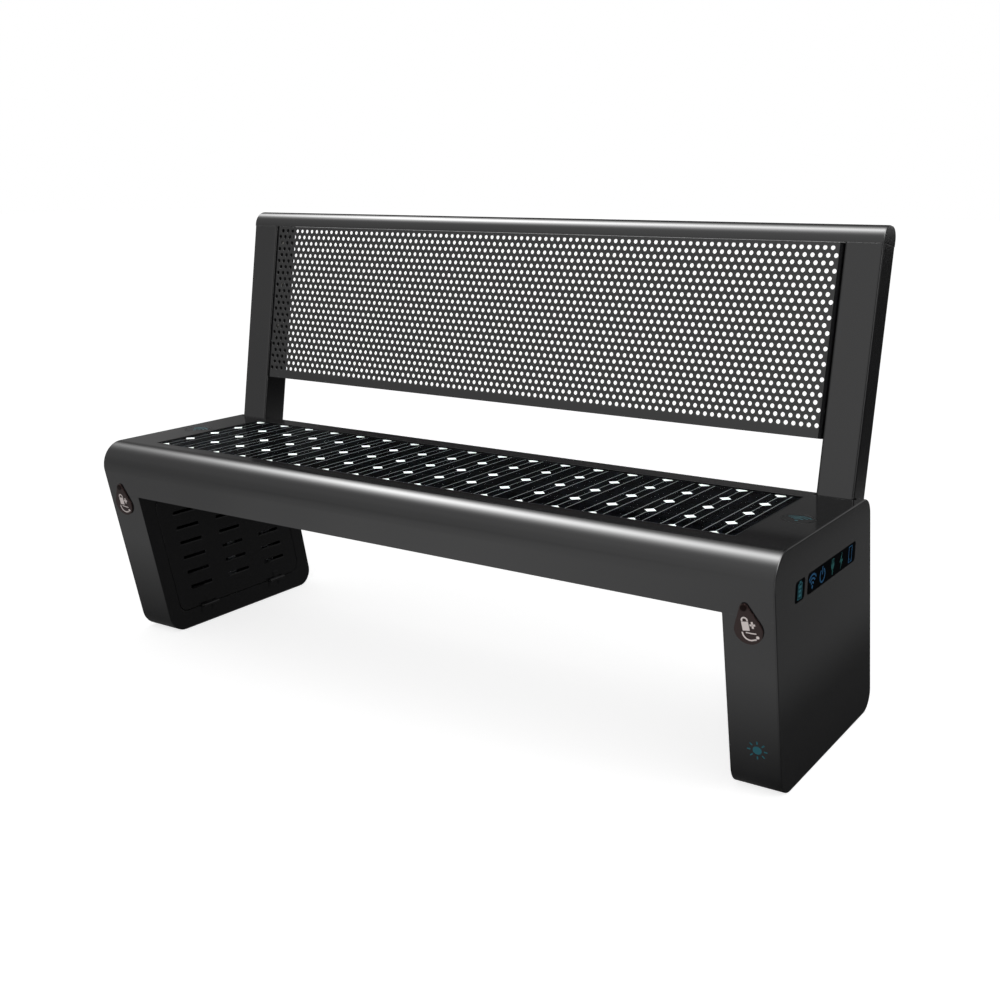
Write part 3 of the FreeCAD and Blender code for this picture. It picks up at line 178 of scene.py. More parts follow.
def makePlated(name, look):
    # turned or rolled metal, then plated: fine marks from the tool, and with nickel bright and slightly warm
    material, tree, shader, place = newMaterial(name, look)
    marks = addNode(tree, "TexNoise", {"Vector": place, "Scale": 1 / look["toolMark"], "Detail": 2.0})
    mottle(tree, shader, marks.outputs["Fac"], look)
    relieve(tree, shader, marks.outputs["Fac"], look["markDepth"], look["edgeRound"])
    return material


dress(makePlated("nickelPlatedSteel", plated), "hinge_pins", "door_lock_left", "door_lock_right",
      "sheet_screws", "post_bolts")

# steel turned brown-black in hot salts: a dull sheen, no shine
blackened = dict(plated, colour="#171110", colourWorn="#1f1716", roughness=0.5, roughnessDull=0.6)
dress(makePlated("blackenedSteel", blackened), "cover_pivots")

anodised = {"colour": "#b9bbbd", "colourWorn": "#c9cbcc", "metallic": 1.0, "roughness": 0.3,
            "roughnessDull": 0.42, "lineWidth": 0.8 * mm, "lineLength": 40 * mm, "lineDepth": 0.004 * mm,
            "edgeRound": 0.4 * mm}


def makeAnodised(look):
    # anodised aluminium extrusion: pale satin metal with die lines along its length
    material, tree, shader, place = newMaterial("anodisedAluminium", look)
    stretch = look["lineWidth"] / look["lineLength"]
    along = addNode(tree, "Mapping", {"Vector": place, "Scale": (stretch, 1.0, 1.0)})
    lines = addNode(tree, "TexNoise", {"Vector": along.outputs["Vector"], "Scale": 1 / look["lineWidth"],
                                       "Detail": 3.0})
    mottle(tree, shader, lines.outputs["Fac"], look)
    relieve(tree, shader, lines.outputs["Fac"], look["lineDepth"], look["edgeRound"])
    return material


dress(makeAnodised(anodised), "panel_frame", "power_converter")
print("metals done")


def makePlastic(name, look):
    # moulded plastic, rubber or film: even colour, and the fine spark-eroded grain of its tool
    material, tree, shader, place = newMaterial(name, look)
    grain = addNode(tree, "TexNoise", {"Vector": place, "Scale": 1 / look["grainSize"], "Detail": 2.0})
    mottle(tree, shader, grain.outputs["Fac"], look)
    relieve(tree, shader, grain.outputs["Fac"], look["grainDepth"], look["edgeRound"])
    return material


blackAbs = {"colour": "#151517", "colourWorn": "#1b1b1d", "roughness": 0.38, "roughnessDull": 0.48,
            "ior": 1.54, "grainSize": 0.9 * mm, "grainDepth": 0.01 * mm, "edgeRound": 0.5 * mm}
glossAbs = dict(blackAbs, colour="#0b0b0c", colourWorn="#0f0f10", roughness=0.14, roughnessDull=0.18,
                ior=1.45, grainDepth=0.003 * mm)
brownAbs = dict(blackAbs, colour="#1d0f0e", colourWorn="#251614", roughness=0.5, roughnessDull=0.6, ior=1.35,
                edgeRound=0.9 * mm)
blueAbs = dict(blackAbs, colour="#1f3d63", colourWorn="#234368")
greyPvc = dict(blackAbs, colour="#8f9092", colourWorn="#989a9c", roughness=0.45, roughnessDull=0.55)
ledResin = dict(blackAbs, colour="#d9dce0", colourWorn="#e2e4e7", roughness=0.15, roughnessDull=0.2)
whiteFilm = dict(blackAbs, colour="#c6c8c8", colourWorn="#cecfcf", roughness=0.5, roughnessDull=0.6,
                 grainSize=3 * mm)
epdm = dict(blackAbs, colour="#09090a", colourWorn="#0d0d0e", roughness=0.7, roughnessDull=0.8, ior=1.15)

dress(makePlastic("blackAbsPlastic", blackAbs), "usb_socket_left", "usb_socket_right", "junction_box",
      "charging_coils", "battery")
dress(makePlastic("glossBlackAbs", glossAbs), "wireless_pad_left", "wireless_pad_right")
dress(makePlastic("brownAbsPlastic", brownAbs), "port_cover_left", "port_cover_right")
dress(makePlastic("blueAbsPlastic", blueAbs), "charge_controller")
dress(makePlastic("greyPvcConduit", greyPvc), "cable_conduit", "conduit_saddles")
dress(makePlastic("clearLedResin", ledResin), "indicator_lamps")
dress(makePlastic("whiteBacksheetFilm", whiteFilm), "solar_backsheet")
dress(makePlastic("epdmRubberSeal", epdm), "panel_gasket", "sheet_spacers")

maskedBoard = {"colour": "#0f3d22", "colourWorn": "#1a5a34", "roughness": 0.35, "roughnessDull": 0.3,
               "trackPitch": 2.5 * mm, "trackWidth": 0.4 * mm}


def makeBoard(look):
    # fibreglass circuit board under green solder mask, with the copper tracks showing as paler lines
    material, tree, shader, place = newMaterial("solderMaskedBoard", look)
    rowsPerUnit = 4  # rows of the brick pattern at a scale of 1
    scale = 1 / look["trackPitch"] / rowsPerUnit
    tracks = addNode(tree, "TexBrick", {"Vector": place, "Scale": scale,
                                        "Mortar Size": look["trackWidth"] * scale})
    mottle(tree, shader, tracks.outputs["Fac"], look)
    return material


dress(makeBoard(maskedBoard), "lamp_board")

smoked = {"colour": "#020305", "roughness": 0.05, "ior": 1.03, "waveSize": 60 * mm, "waveDepth": 0.05 * mm}


def makeSmoked(look):
    # smoked polycarbonate, cast flat: nearly black, with a sharp gloss that waves very slightly.
    # Its low IOR stands for a coat against glare
    material, tree, shader, place = newMaterial("smokedPolycarbonate", look)
    wave = addNode(tree, "TexNoise", {"Vector": place, "Scale": 1 / look["waveSize"], "Detail": 1.0})
    bump = addNode(tree, "Bump", {"Height": wave.outputs["Fac"], "Distance": look["waveDepth"]})
    tree.links.new(bump.outputs["Normal"], shader.inputs["Normal"])
    return material


dress(makeSmoked(smoked), "indicator_window", "indicator_strip")
print("plastics done")


# the face is bonded to the glass, so it has no gloss of its own
siliconCell = {"colour": "#020203", "colourWorn": "#040507", "roughness": 0.5, "specular": 0.0,
               "cloudSize": 71.43 * mm, "finger": "#0a0b0e", "fingerPitch": 2.4 * mm, "gapShare": 0.9}


def makeSilicon(look):
    # monocrystalline silicon wafers with an etched, coated face: blue-black and matt,
    # crossed by hair-thin silver fingers, drawn wider than their 0.1 mm so that they show
    material, tree, shader, place = newMaterial("monocrystallineSilicon", look)
    apart = addNode(tree, "SeparateXYZ", {"Vector": place})
    step = addNode(tree, "Math", {0: apart.outputs["Y"], 1: 1 / look["fingerPitch"]}, operation="MULTIPLY")
    part = addNode(tree, "Math", {0: step.outputs[0]}, operation="FRACT")
    line = addNode(tree, "Math", {0: part.outputs[0], 1: look["gapShare"]}, operation="GREATER_THAN")
    cloud = addNode(tree, "TexNoise", {"Vector": place, "Scale": 1 / look["cloudSize"], "Detail": 3.0})
    wafer = addNode(tree, "Mix", {"Factor": cloud.outputs["Fac"], firstColour: linear(look["colour"]),
                                  secondColour: linear(look["colourWorn"])}, data_type="RGBA")
    face = addNode(tree, "Mix", {"Factor": line.outputs[0], firstColour: wafer.outputs[mixedColour],
                                 secondColour: linear(look["finger"])}, data_type="RGBA")
    tree.links.new(face.outputs[mixedColour], shader.inputs["Base Color"])
    return material


dress(makeSilicon(siliconCell), "solar_cells")

panelGlass = {"colour": "#f8fbfa", "roughness": 0.03, "ior": 1.02, "waveSize": 90 * mm,
              "waveDepth": 0.04 * mm, "bottom": 447 * mm, "edge": 0.6 * mm}


def makeGlass(look):
    # tempered low-iron glass: clear, with a sharp reflection that rolls slightly from the oven.
    # Its low IOR stands for the anti-reflective coat, which keeps the cells black from the front
    material, tree, shader, place = newMaterial("temperedGlass", look)
    shader.inputs["Transmission Weight"].default_value = 1.0
    wave = addNode(tree, "TexNoise", {"Vector": place, "Scale": 1 / look["waveSize"], "Detail": 1.0})
    bump = addNode(tree, "Bump", {"Height": wave.outputs["Fac"], "Distance": look["waveDepth"]})
    tree.links.new(bump.outputs["Normal"], shader.inputs["Normal"])
    return material


def slab(low, high, edge):
    # a flat block with ground edges
    mesh = bpy.data.meshes.new("slab")
    shape = bmesh.new()
    bmesh.ops.create_cube(shape, size=1.0)
    size = Vector(high) - Vector(low)
    middle = (Vector(high) + Vector(low)) / 2
    bmesh.ops.scale(shape, vec=size, verts=shape.verts)
    bmesh.ops.translate(shape, vec=middle, verts=shape.verts)
    bmesh.ops.bevel(shape, geom=list(shape.edges), offset=edge, segments=2, affect="EDGES")
    shape.to_mesh(mesh)
    shape.free()
    return mesh


glassLow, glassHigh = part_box("solar_glass")
glassMesh = slab((glassLow.x, glassLow.y, panelGlass["bottom"]), glassHigh, panelGlass["edge"])
glassSheet = addPiece("glassSheet", glassMesh, makeGlass(panelGlass), "frame")
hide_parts("solar_glass")

# tinned copper ribbons join the cells from front to back, two on each cell, and a bus lies in each gap
# between the columns, broken at the white diamonds. Under the glass the tin is grey, with hardly any gloss
ribbon = {"colour": "#4c4e50", "colourWorn": "#56585a", "roughness": 0.5, "roughnessDull": 0.6,
          "specular": 0.1033, "toolMark": 2 * mm, "markDepth": 0.01 * mm, "edgeRound": 0.1 * mm,
          "width": 1.5 * mm, "thick": 0.1 * mm, "offset": 21 * mm, "fromSide": 2 * mm, "fromEnd": 1 * mm}
# lines between the columns and the rows of cells, and half the width of a diamond
grid = {"firstColumn": -668.7 * mm, "columns": 18, "columnPitch": 76.7 * mm, "columnGap": 1.4 * mm,
        "firstRow": -196.6 * mm, "rows": 5, "rowPitch": 74.9 * mm, "rowGap": 0.6 * mm, "diamond": 12.2 * mm}
cellLow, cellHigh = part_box("solar_cells")
seatOfBars = cellHigh.z - 0.02 * mm  # bars start just inside the cells


def bars(name, spans, bottom, top):
    # flat bars, each from its left, right, front and rear edges
    shape = bmesh.new()
    for left, right, front, rear in spans:
        middle = Vector(((left + right) / 2, (front + rear) / 2, (bottom + top) / 2))
        size = Vector((right - left, rear - front, top - bottom))
        bmesh.ops.create_cube(shape, size=1.0, matrix=Matrix.LocRotScale(middle, None, size))
    mesh = bpy.data.meshes.new(name)
    shape.to_mesh(mesh)
    shape.free()
    return mesh


columnLines = [grid["firstColumn"] + number * grid["columnPitch"] for number in range(grid["columns"])]
rowLines = [grid["firstRow"] + number * grid["rowPitch"] for number in range(grid["rows"])]
metalSpans, darkSpans = [], []
for x in columnLines:
    for ribbonX in (x - ribbon["offset"], x + ribbon["offset"]):
        if cellLow.x + ribbon["fromSide"] < ribbonX < cellHigh.x - ribbon["fromSide"]:
            metalSpans.append((ribbonX - ribbon["width"] / 2, ribbonX + ribbon["width"] / 2,
                               cellLow.y + ribbon["fromEnd"], cellHigh.y - ribbon["fromEnd"]))
    for nearRow, farRow in zip(rowLines, rowLines[1:]):
        metalSpans.append((x - grid["columnGap"] / 2, x + grid["columnGap"] / 2,
                           nearRow + grid["diamond"], farRow - grid["diamond"]))
for y in rowLines:
    edges = [edge for x in columnLines for edge in (x - grid["diamond"], x + grid["diamond"])]
    edges = [glassLow.x] + edges + [glassHigh.x]
    for left, right in zip(edges[::2], edges[1::2]):
        darkSpans.append((left, right, y - grid["rowGap"] / 2, y + grid["rowGap"] / 2))
ribbonMesh = bars("ribbons", metalSpans, seatOfBars, cellHigh.z + ribbon["thick"])
addPiece("cellRibbons", ribbonMesh, makePlated("tinnedCopperRibbon", ribbon), "frame")

# a black ceramic border, fired on the underside of the glass, hides its edge and the gaps of the rows
frit = dict(epdm, colour="#050607", colourWorn="#070809", ior=1.1, border=1.2 * mm, thick=0.06 * mm)
left, right, nearSide, farSide, edge = glassLow.x, glassHigh.x, glassLow.y, glassHigh.y, frit["border"]
darkSpans += [(left, right, nearSide, nearSide + edge), (left, right, farSide - edge, farSide),
              (left, left + edge, nearSide, farSide), (right - edge, right, nearSide, farSide)]
borderMesh = bars("border", darkSpans, seatOfBars, cellHigh.z + frit["thick"])
addPiece("ceramicBorder", borderMesh, makePlastic("firedBlackCeramic", frit), "frame")
print("solar panel done")


def makeInk(name, colour):
    # screen-printed ink: flat and slightly chalky, with a grainy edge to its gloss
    look = dict(blackAbs, colour=colour, colourWorn=colour, roughness=0.5, roughnessDull=0.6, ior=1.2,
                grainSize=0.5 * mm, edgeRound=0.05 * mm)
    return makePlastic(name, look)


inkColours = {"white": "#d9cfcc", "teal": "#285c66", "green": "#1b4d4d", "blue": "#1b496c",
              "dimTeal": "#2a464b", "black": "#090a0a"}
inks = {name: makeInk(name + "Ink", colour) for name, colour in inkColours.items()}
inkFilm = 0.06 * mm


def arc(x, y, radius, start, end, steps=20):
    # points along an arc, from its start to its end in degrees
    turns = [math.radians(start + (end - start) * step / steps) for step in range(steps + 1)]
    return [(x + radius * math.cos(turn), y + radius * math.sin(turn)) for turn in turns]


def addStroke(shape, points, width, closed=False):
    # a line of even width through the points
    count = len(points)
    left, right = [], []
    for index, (x, y) in enumerate(points):
        before = points[index - 1] if index or closed else points[index]
        after = points[(index + 1) % count] if index < count - 1 or closed else points[index]
        run = Vector((after[0] - before[0], after[1] - before[1])).normalized()
        left.append(shape.verts.new((x - run.y * width / 2, y + run.x * width / 2, 0)))
        right.append(shape.verts.new((x + run.y * width / 2, y - run.x * width / 2, 0)))
    for index in range(count if closed else count - 1):
        after = (index + 1) % count
        shape.faces.new([right[index], right[after], left[after], left[index]])


def addFill(shape, points):
    shape.faces.new([shape.verts.new((x, y, 0)) for x, y in points])


def stamp(name, strokes, fills, unit, place, material, body, slot):
    # prints a flat symbol on a surface: place turns its own plane onto that surface
    shape = bmesh.new()
    for points, width, *closed in strokes:
        addStroke(shape, points, width, bool(closed))
    for points in fills:
        addFill(shape, points)
    bmesh.ops.scale(shape, vec=(unit, unit, 1), verts=shape.verts)
    thick = bmesh.ops.extrude_face_region(shape, geom=list(shape.faces))
    tops = [item for item in thick["geom"] if isinstance(item, bmesh.types.BMVert)]
    bmesh.ops.translate(shape, vec=(0, 0, inkFilm), verts=tops)
    bmesh.ops.recalc_face_normals(shape, faces=shape.faces)
    bmesh.ops.transform(shape, matrix=place, verts=shape.verts)
    mesh = bpy.data.meshes.new(name)
    shape.to_mesh(mesh)
    shape.free()
    return addPiece(name, mesh, material, body)


def facing(origin, across, up, turn=0.0):
    # the plane of a surface: its origin, its right hand and its up direction
    across, up = Vector(across).normalized(), Vector(up).normalized()
    out = across.cross(up)
    plane = Matrix((across, up, out)).transposed().to_4x4()
    return Matrix.Translation(origin) @ plane @ Matrix.Rotation(math.radians(turn), 4, "Z")


# the leaning front of the legs: where it would meet the top of the seat, and its run back for each metre down
frontFace = {"corner": -291.1 * mm, "seat": 450 * mm, "slope": 0.2235}
lean = math.atan(frontFace["slope"])
upTheFace = (0, -math.sin(lean), math.cos(lean))
outOfFace = Vector((0, -math.cos(lean), -math.sin(lean)))


def onFront(x, level, proud):
    # a point at a height on the front of a leg, and so far proud of it
    y = frontFace["corner"] + frontFace["slope"] * (frontFace["seat"] - level)
    return Vector((x, y, level)) + proud * outOfFace


# each cover's pivot: how far to the right it is, and the turn of its symbol in degrees
portSymbol = {"pivots": {"left": (-737.5 * mm, 0.0), "right": (725.5 * mm, 9.0)}, "level": 356 * mm,
              "drop": 37, "proud": 3.31 * mm, "line": 2.3, "unit": 1.15 * mm}


def dropped(points, look):
    # a symbol is drawn about its middle, and hangs below the pivot of its cover
    return [(x, y - look["drop"]) for x, y in points]


def portMarks(look):
    # a charging block with a handle, a plus and a lead, from the middle of the round end
    line = look["line"]
    handle = (arc(-2.6, 17.5, 4.2, -20, 200), line)
    lead = ([(-9.6, -1)] + arc(2, -3, 11.2, 190, 275, 14) + [(10, -12.6)], line)
    strand = ([(-4, -1.6), (4, -3), (11.4, -3.6)], line * 0.8)
    plus = [([(3.8, 10), (12.2, 10)], line * 1.3), ([(8, 4.6), (8, 15.4)], line * 1.3)]
    block = [(-8, 1.2), (2.6, 1.2), (2.6, 15.4), (-8, 15.4)]
    dot = arc(12.4, -9.4, 2.5, 0, 345, 23)
    strokes = [(dropped(points, look), width) for points, width in [handle, lead, strand] + plus]
    return strokes, [dropped(block, look), dropped(dot, look)]


strokes, fills = portMarks(portSymbol)
for side, (x, turn) in portSymbol["pivots"].items():
    place = facing(onFront(x, portSymbol["level"], portSymbol["proud"]), (1, 0, 0), upTheFace, turn)
    stamp("portSymbol_" + side, strokes, fills, portSymbol["unit"], place, inks["white"], "cover_" + side,
          "black_plastic")

# each symbol's place along the windows in mm, and its ink
windowSymbols = {"x": 778.02 * mm, "z": 364 * mm, "unit": 1.6 * mm,
                 "places": {"battery": (-165.2, "teal"), "waves": (-107.4, "blue"), "power": (-59.4, "blue"),
                            "plug": (-8.7, "green"), "bolt": (35.7, "green"), "phone": (84.0, "blue")}}
# lines with their widths, and filled outlines, in units of the symbol
symbols = {
    "battery": ([([(-5.5, -9), (5.5, -9), (5.5, 7.5), (-5.5, 7.5)], 1.4, True)],
                [[(-2.4, 8.2), (2.4, 8.2), (2.4, 10), (-2.4, 10)]]
                + [[(-3.6, y), (3.6, y), (3.6, y + 3.6), (-3.6, y + 3.6)] for y in (-7.2, -2.6, 2.0)]),
    "waves": ([(arc(0, -6, r, 40, 140), 2.2) for r in (5, 9.4, 13.8)], [arc(0, -6, 2.2, 0, 345, 15)]),
    "power": ([(arc(0, -1, 7.4, 125, 415, 30), 2.2), ([(0, 0), (0, 9)], 2.2)], []),
    "plug": ([([(0, -9), (0, -3)], 2.4), ([(-2.4, 4), (-2.4, 9)], 1.8), ([(2.4, 4), (2.4, 9)], 1.8)],
             [[(-4.6, 4), (-4.6, 0), (-2.4, -3.4), (2.4, -3.4), (4.6, 0), (4.6, 4)]]),
    "bolt": ([], [[(2, 10), (-5, -1.4), (-0.6, -1.4), (-2, -10), (5, 1.4), (0.6, 1.4)]]),
    "phone": ([([(-5, -9), (5, -9), (5, 9), (-5, 9)], 1.8, True)], [arc(0, -6.2, 1.1, 0, 340, 11)]),
}
for name, (y, ink) in windowSymbols["places"].items():
    place = facing((windowSymbols["x"], y * mm, windowSymbols["z"]), (0, 1, 0), (0, 0, 1))
    stamp("windowSymbol_" + name, *symbols[name], windowSymbols["unit"], place, inks[ink], "frame",
          "smoked_window")

# the charging discs: three waves over a dot, and a rim, which is drawn in mm
padSymbol = {"x": 725 * mm, "y": -43.7 * mm, "z": 450.01 * mm, "unit": 1.35 * mm, "waves": (8, 14, 20),
             "waveWidth": 3.0, "dot": 2.6, "rim": 28.6, "rimWidth": 2.6}
waves = [(arc(0, -8, radius, 40, 140), padSymbol["waveWidth"]) for radius in padSymbol["waves"]]
dots = [arc(0, -9, padSymbol["dot"], 0, 345, 15)]
rim = [(arc(0, 0, padSymbol["rim"], 0, 354, 59), padSymbol["rimWidth"], True)]
for side, sign in (("left", -1), ("right", 1)):
    place = facing((sign * padSymbol["x"], padSymbol["y"], padSymbol["z"]), (1, 0, 0), (0, 1, 0))
    stamp("padSymbol_" + side, waves, dots, padSymbol["unit"], place, inks["dimTeal"], "frame", "black_plastic")
    stamp("padRim_" + side, rim, [], mm, place, inks["black"], "frame", "black_plastic")

# a plain sun on the right leg, drawn in mm
sun = {"x": 737 * mm, "level": 88 * mm, "proud": 0.02 * mm, "radius": 8, "rays": 8, "rayEnds": (12, 18),
       "rayWidth": 2.6}
rays = []
for number in range(sun["rays"]):
    turn = 2 * math.pi * number / sun["rays"]
    rays.append(([(end * math.cos(turn), end * math.sin(turn)) for end in sun["rayEnds"]], sun["rayWidth"]))
place = facing(onFront(sun["x"], sun["level"], sun["proud"]), (1, 0, 0), upTheFace)
stamp("legSymbol", rays, [arc(0, 0, sun["radius"], 0, 352, 44)], mm, place, inks["teal"], "frame", "coated_steel")
print("symbols done")


# lift is the light of its own that the floor shows to the camera and to gloss, but not to the bench;
# throughGlass is the most of the studio that shows through the glass
stageLook = {"floor": "#dedede", "reach": 30, "lift": 0.72, "worldLight": 0.45, "throughGlass": 1.6}


def addPlane(name, reach, level):
    # a flat square on the ground, which is not part of the bench
    corners = [(x * reach, y * reach, level) for x, y in ((-1, -1), (1, -1), (1, 1), (-1, 1))]
    mesh = bpy.data.meshes.new(name)
    mesh.from_pydata(corners, [], [(0, 1, 2, 3)])
    plane = bpy.data.objects.new(name, mesh)
    scene.collection.objects.link(plane)
    return plane


floor = addPlane("floor", stageLook["reach"], 0)
floorLook = {"colour": stageLook["floor"], "roughness": 0.9, "specular": 0.0}
floorPaint, tree, shader, place = newMaterial("paleFloor", floorLook)
path = addNode(tree, "LightPath").outputs
seen = addNode(tree, "Math", {0: path["Is Camera Ray"], 1: path["Is Glossy Ray"]})
seen = addNode(tree, "Math", {0: seen.outputs[0], 1: path["Is Transmission Ray"]}, use_clamp=True)
lift = addNode(tree, "Math", {0: seen.outputs[0], 1: stageLook["lift"]}, operation="MULTIPLY")
tree.links.new(lift.outputs[0], shader.inputs["Emission Strength"])
floor.data.materials.append(floorPaint)

# What gloss shows of the studio. The height of a direction is in degrees, from the front horizon over
# the top to the back; its side is x over the rest. One broad softbox hangs over the front, and its
# edges run slightly aslant, by the slant in degrees for each unit of side
heightSpan, sideSpan = (0, 180), (-1.5, 1.5)
softbox = {"peak": 14.2, "slant": 25.0, "slantFrom": -0.4,
           "heights": [(44, 0.0), (54, 0.02), (62, 0.09), (70, 0.25), (78, 0.51), (85, 0.81), (91, 1.0),
                       (97, 0.97), (103, 0.72), (109, 0.42), (116, 0.17), (124, 0.05), (134, 0.0)],
           "across": [(-1.5, 0.0), (-1.13, 0.1), (-1.02, 0.22), (-0.94, 0.42), (-0.86, 0.62), (-0.78, 0.93),
                      (-0.7, 1.0), (-0.5, 0.97), (-0.38, 0.88), (0.3, 0.8), (1.5, 0.3)]}
# the white front of the studio ends over the top, and is brightest left of the middle
front = {"heights": [(0, 0.95), (15, 1.0), (42, 1.17), (90, 1.15), (112, 0.85), (124, 0.55), (136, 0.25),
                     (147, 0.06), (158, 0.0)],
         "across": [(-1.5, 0.5), (-1.12, 0.6), (-0.94, 0.75), (-0.72, 0.93), (-0.5, 1.1), (-0.3, 1.2),
                    (0.1, 1.1), (0.6, 0.35), (1.5, 0.1)]}
# behind, low down, a dark cloth that is paler towards both sides
back = {"heights": [(138, 0.0), (152, 1.0)],
        "across": [(-1.5, 0.3), (-1.1, 0.25), (-0.95, 0.14), (-0.8, 0.04), (-0.6, 0.06), (-0.35, 0.12),
                   (-0.28, 0.14), (0.0, 0.45), (1.5, 0.5)]}


def rampOf(tree, value, stops, span):
    # a smooth curve through the stops, of a value that runs over the span
    first, last = span
    share = addNode(tree, "MapRange", {"Value": value, "From Min": first, "From Max": last})
    curve = addNode(tree, "ValToRGB", {"Fac": share.outputs["Result"]})
    curve.color_ramp.interpolation = "EASE"
    points = curve.color_ramp.elements
    while len(points) < len(stops):
        points.new(0.5)
    for point, (at, level) in zip(points, stops):
        point.position = (at - first) / (last - first)
        point.color = (level, level, level, 1)
    return curve.outputs["Color"]


world = bpy.data.worlds.new("studio")
scene.world = world
world.use_nodes = True
tree = world.node_tree
apart = addNode(tree, "SeparateXYZ", {"Vector": addNode(tree, "TexCoord").outputs["Generated"]}).outputs
forward = addNode(tree, "Math", {0: apart["Y"], 1: -1.0}, operation="MULTIPLY").outputs[0]
turn = addNode(tree, "Math", {0: apart["Z"], 1: forward}, operation="ARCTAN2").outputs[0]
height = addNode(tree, "Math", {0: turn, 1: 180 / math.pi}, operation="MULTIPLY").outputs[0]
squares = [addNode(tree, "Math", {0: apart[axis], 1: 2.0}, operation="POWER").outputs[0] for axis in "YZ"]
reach = addNode(tree, "Math", {0: squares[0], 1: squares[1]}).outputs[0]
reach = addNode(tree, "Math", {0: reach, 1: 0.5}, operation="POWER").outputs[0]
side = addNode(tree, "Math", {0: apart["X"], 1: reach}, operation="DIVIDE").outputs[0]
slanted = addNode(tree, "Math", {0: side, 1: softbox["slant"], 2: -softbox["slantFrom"] * softbox["slant"]},
                  operation="MULTIPLY_ADD").outputs[0]
slanted = addNode(tree, "Math", {0: height, 1: slanted}).outputs[0]
gloss = 0.0
for source, rise, scale in ((softbox, slanted, softbox["peak"]), (front, height, 1.0), (back, height, 1.0)):
    up = rampOf(tree, rise, source["heights"], heightSpan)
    over = rampOf(tree, side, source["across"], sideSpan)
    part = addNode(tree, "Math", {0: up, 1: over}, operation="MULTIPLY").outputs[0]
    gloss = addNode(tree, "Math", {0: part, 1: scale, 2: gloss}, operation="MULTIPLY_ADD").outputs[0]
dimmed = addNode(tree, "Math", {0: gloss, 1: stageLook["throughGlass"]}, operation="MINIMUM").outputs[0]
path = addNode(tree, "LightPath").outputs
strength = stageLook["worldLight"]
for kind, value in (("Is Transmission Ray", dimmed), ("Is Glossy Ray", gloss), ("Is Camera Ray", 1.0)):
    choice = addNode(tree, "Mix", {"Factor": path[kind], firstNumber: strength, secondNumber: value})
    strength = choice.outputs[0]
tree.links.new(strength, tree.nodes["Background"].inputs["Strength"])
tree.nodes["Background"].inputs["Color"].default_value = (1, 1, 1, 1)

# black cloth on the ground, which only gloss and glass see: it keeps the ends and the doors dark, as
# flags do in a studio, and opens to the white floor in front of the legs and a little at the right
ground = {"colour": "#000000", "roughness": 0.5, "specular": 0.0, "reach": 28, "level": 2 * mm,
          "near": -0.18, "far": -0.45, "setback": 0.6,
          "across": [(-1.5, 0.45), (-1.1, 0.52), (-0.85, 0.57), (-0.6, 0.74), (-0.35, 0.9), (-0.1, 1.0),
                     (0.2, 0.98), (0.6, 0.85), (1.5, 0.3)],
          "besideSpan": (0, 1.5),
          "beside": [(0.0, 0.08), (0.7, 0.08), (0.78, 0.04), (0.86, 0.05), (1.0, 0.14), (1.25, 0.14),
                     (1.4, 0.05), (1.5, 0.03)],
          "patch": 0.45,
          "patches": {"left": (("X", -1.0, -1.5), ("Y", -0.4, 0.0), ("Y", 1.8, 1.2)),
                      "rear": (("X", 1.0, 0.8), ("Y", 1.2, 1.8)),
                      "right": (("X", 1.4, 1.7), ("Y", 0.9, 0.5))}}
cloth, tree, shader, place = newMaterial("groundCloth", ground)
spot = addNode(tree, "SeparateXYZ", {"Vector": place}).outputs
ahead = addNode(tree, "MapRange", {"Value": spot["Y"], "From Min": ground["near"], "From Max": ground["far"]})
depth = addNode(tree, "Math", {0: ground["setback"], 1: spot["Y"]}, operation="SUBTRACT").outputs[0]
slope = addNode(tree, "Math", {0: spot["X"], 1: depth}, operation="DIVIDE").outputs[0]
across = rampOf(tree, slope, ground["across"], sideSpan)
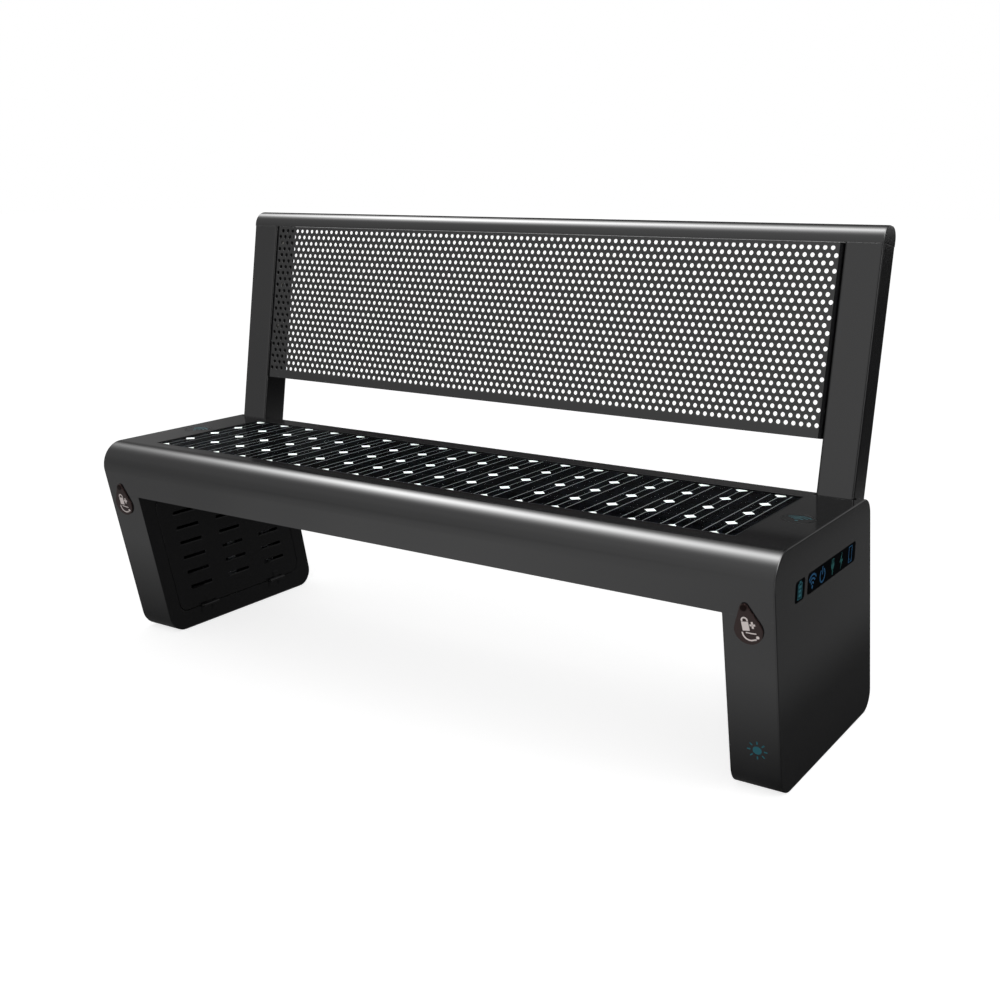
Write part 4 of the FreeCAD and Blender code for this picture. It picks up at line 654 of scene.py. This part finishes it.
beside = rampOf(tree, spot["X"], ground["beside"], ground["besideSpan"])
glow = addNode(tree, "Math", {0: ahead.outputs[0], 1: across, 2: beside}, operation="MULTIPLY_ADD").outputs[0]
# pale patches at the left, at the right and behind give the ends and the back their gloss
for edges in ground["patches"].values():
    patch = ground["patch"]
    for axis, start, end in edges:
        fade = addNode(tree, "MapRange", {"Value": spot[axis], "From Min": start, "From Max": end})
        patch = addNode(tree, "Math", {0: fade.outputs["Result"], 1: patch}, operation="MULTIPLY").outputs[0]
    glow = addNode(tree, "Math", {0: patch, 1: glow}).outputs[0]
tree.links.new(glow, shader.inputs["Emission Strength"])
flag = addPlane("groundFlag", ground["reach"], ground["level"])
flag.data.materials.append(cloth)
flag.visible_camera = False
flag.visible_diffuse = False
flag.visible_shadow = False

# soft lamps at the front right and at the right end; gloss shows the studio in place of them
lamps = {
    "front": {"at": (1.6, -3.6, 1.5), "towards": (0.3, 0, 0.4), "size": (1.4, 1.4), "power": 40},
    "side": {"at": (3.8, 0.2, 1.8), "towards": (0.6, 0, 0.3), "size": (1.4, 1.4), "power": 14},
}
for name, lamp in lamps.items():
    data = bpy.data.lights.new(name, "AREA")
    data.shape = "RECTANGLE"
    data.size, data.size_y = lamp["size"]
    data.energy = lamp["power"]
    light = bpy.data.objects.new(name, data)
    scene.collection.objects.link(light)
    light.visible_camera = False
    light.visible_glossy = False
    light.location = lamp["at"]
    aim = Vector(lamp["towards"]) - Vector(lamp["at"])
    light.rotation_euler = aim.to_track_quat("-Z", "Y").to_euler()

# the camera looks from the front right, a metre up, as the photograph's did; its turn is in radians
view = {"at": (1.4572, -2.0840, 1.0166), "turn": (1.3226, -0.0004, 0.5828), "lens": 45.88, "sensor": 36}
cameraData = bpy.data.cameras.new("camera")
cameraData.lens = view["lens"]
cameraData.sensor_width = view["sensor"]
camera = bpy.data.objects.new("camera", cameraData)
scene.collection.objects.link(camera)
camera.location = view["at"]
camera.rotation_euler = view["turn"]
scene.camera = camera
print("stage done")
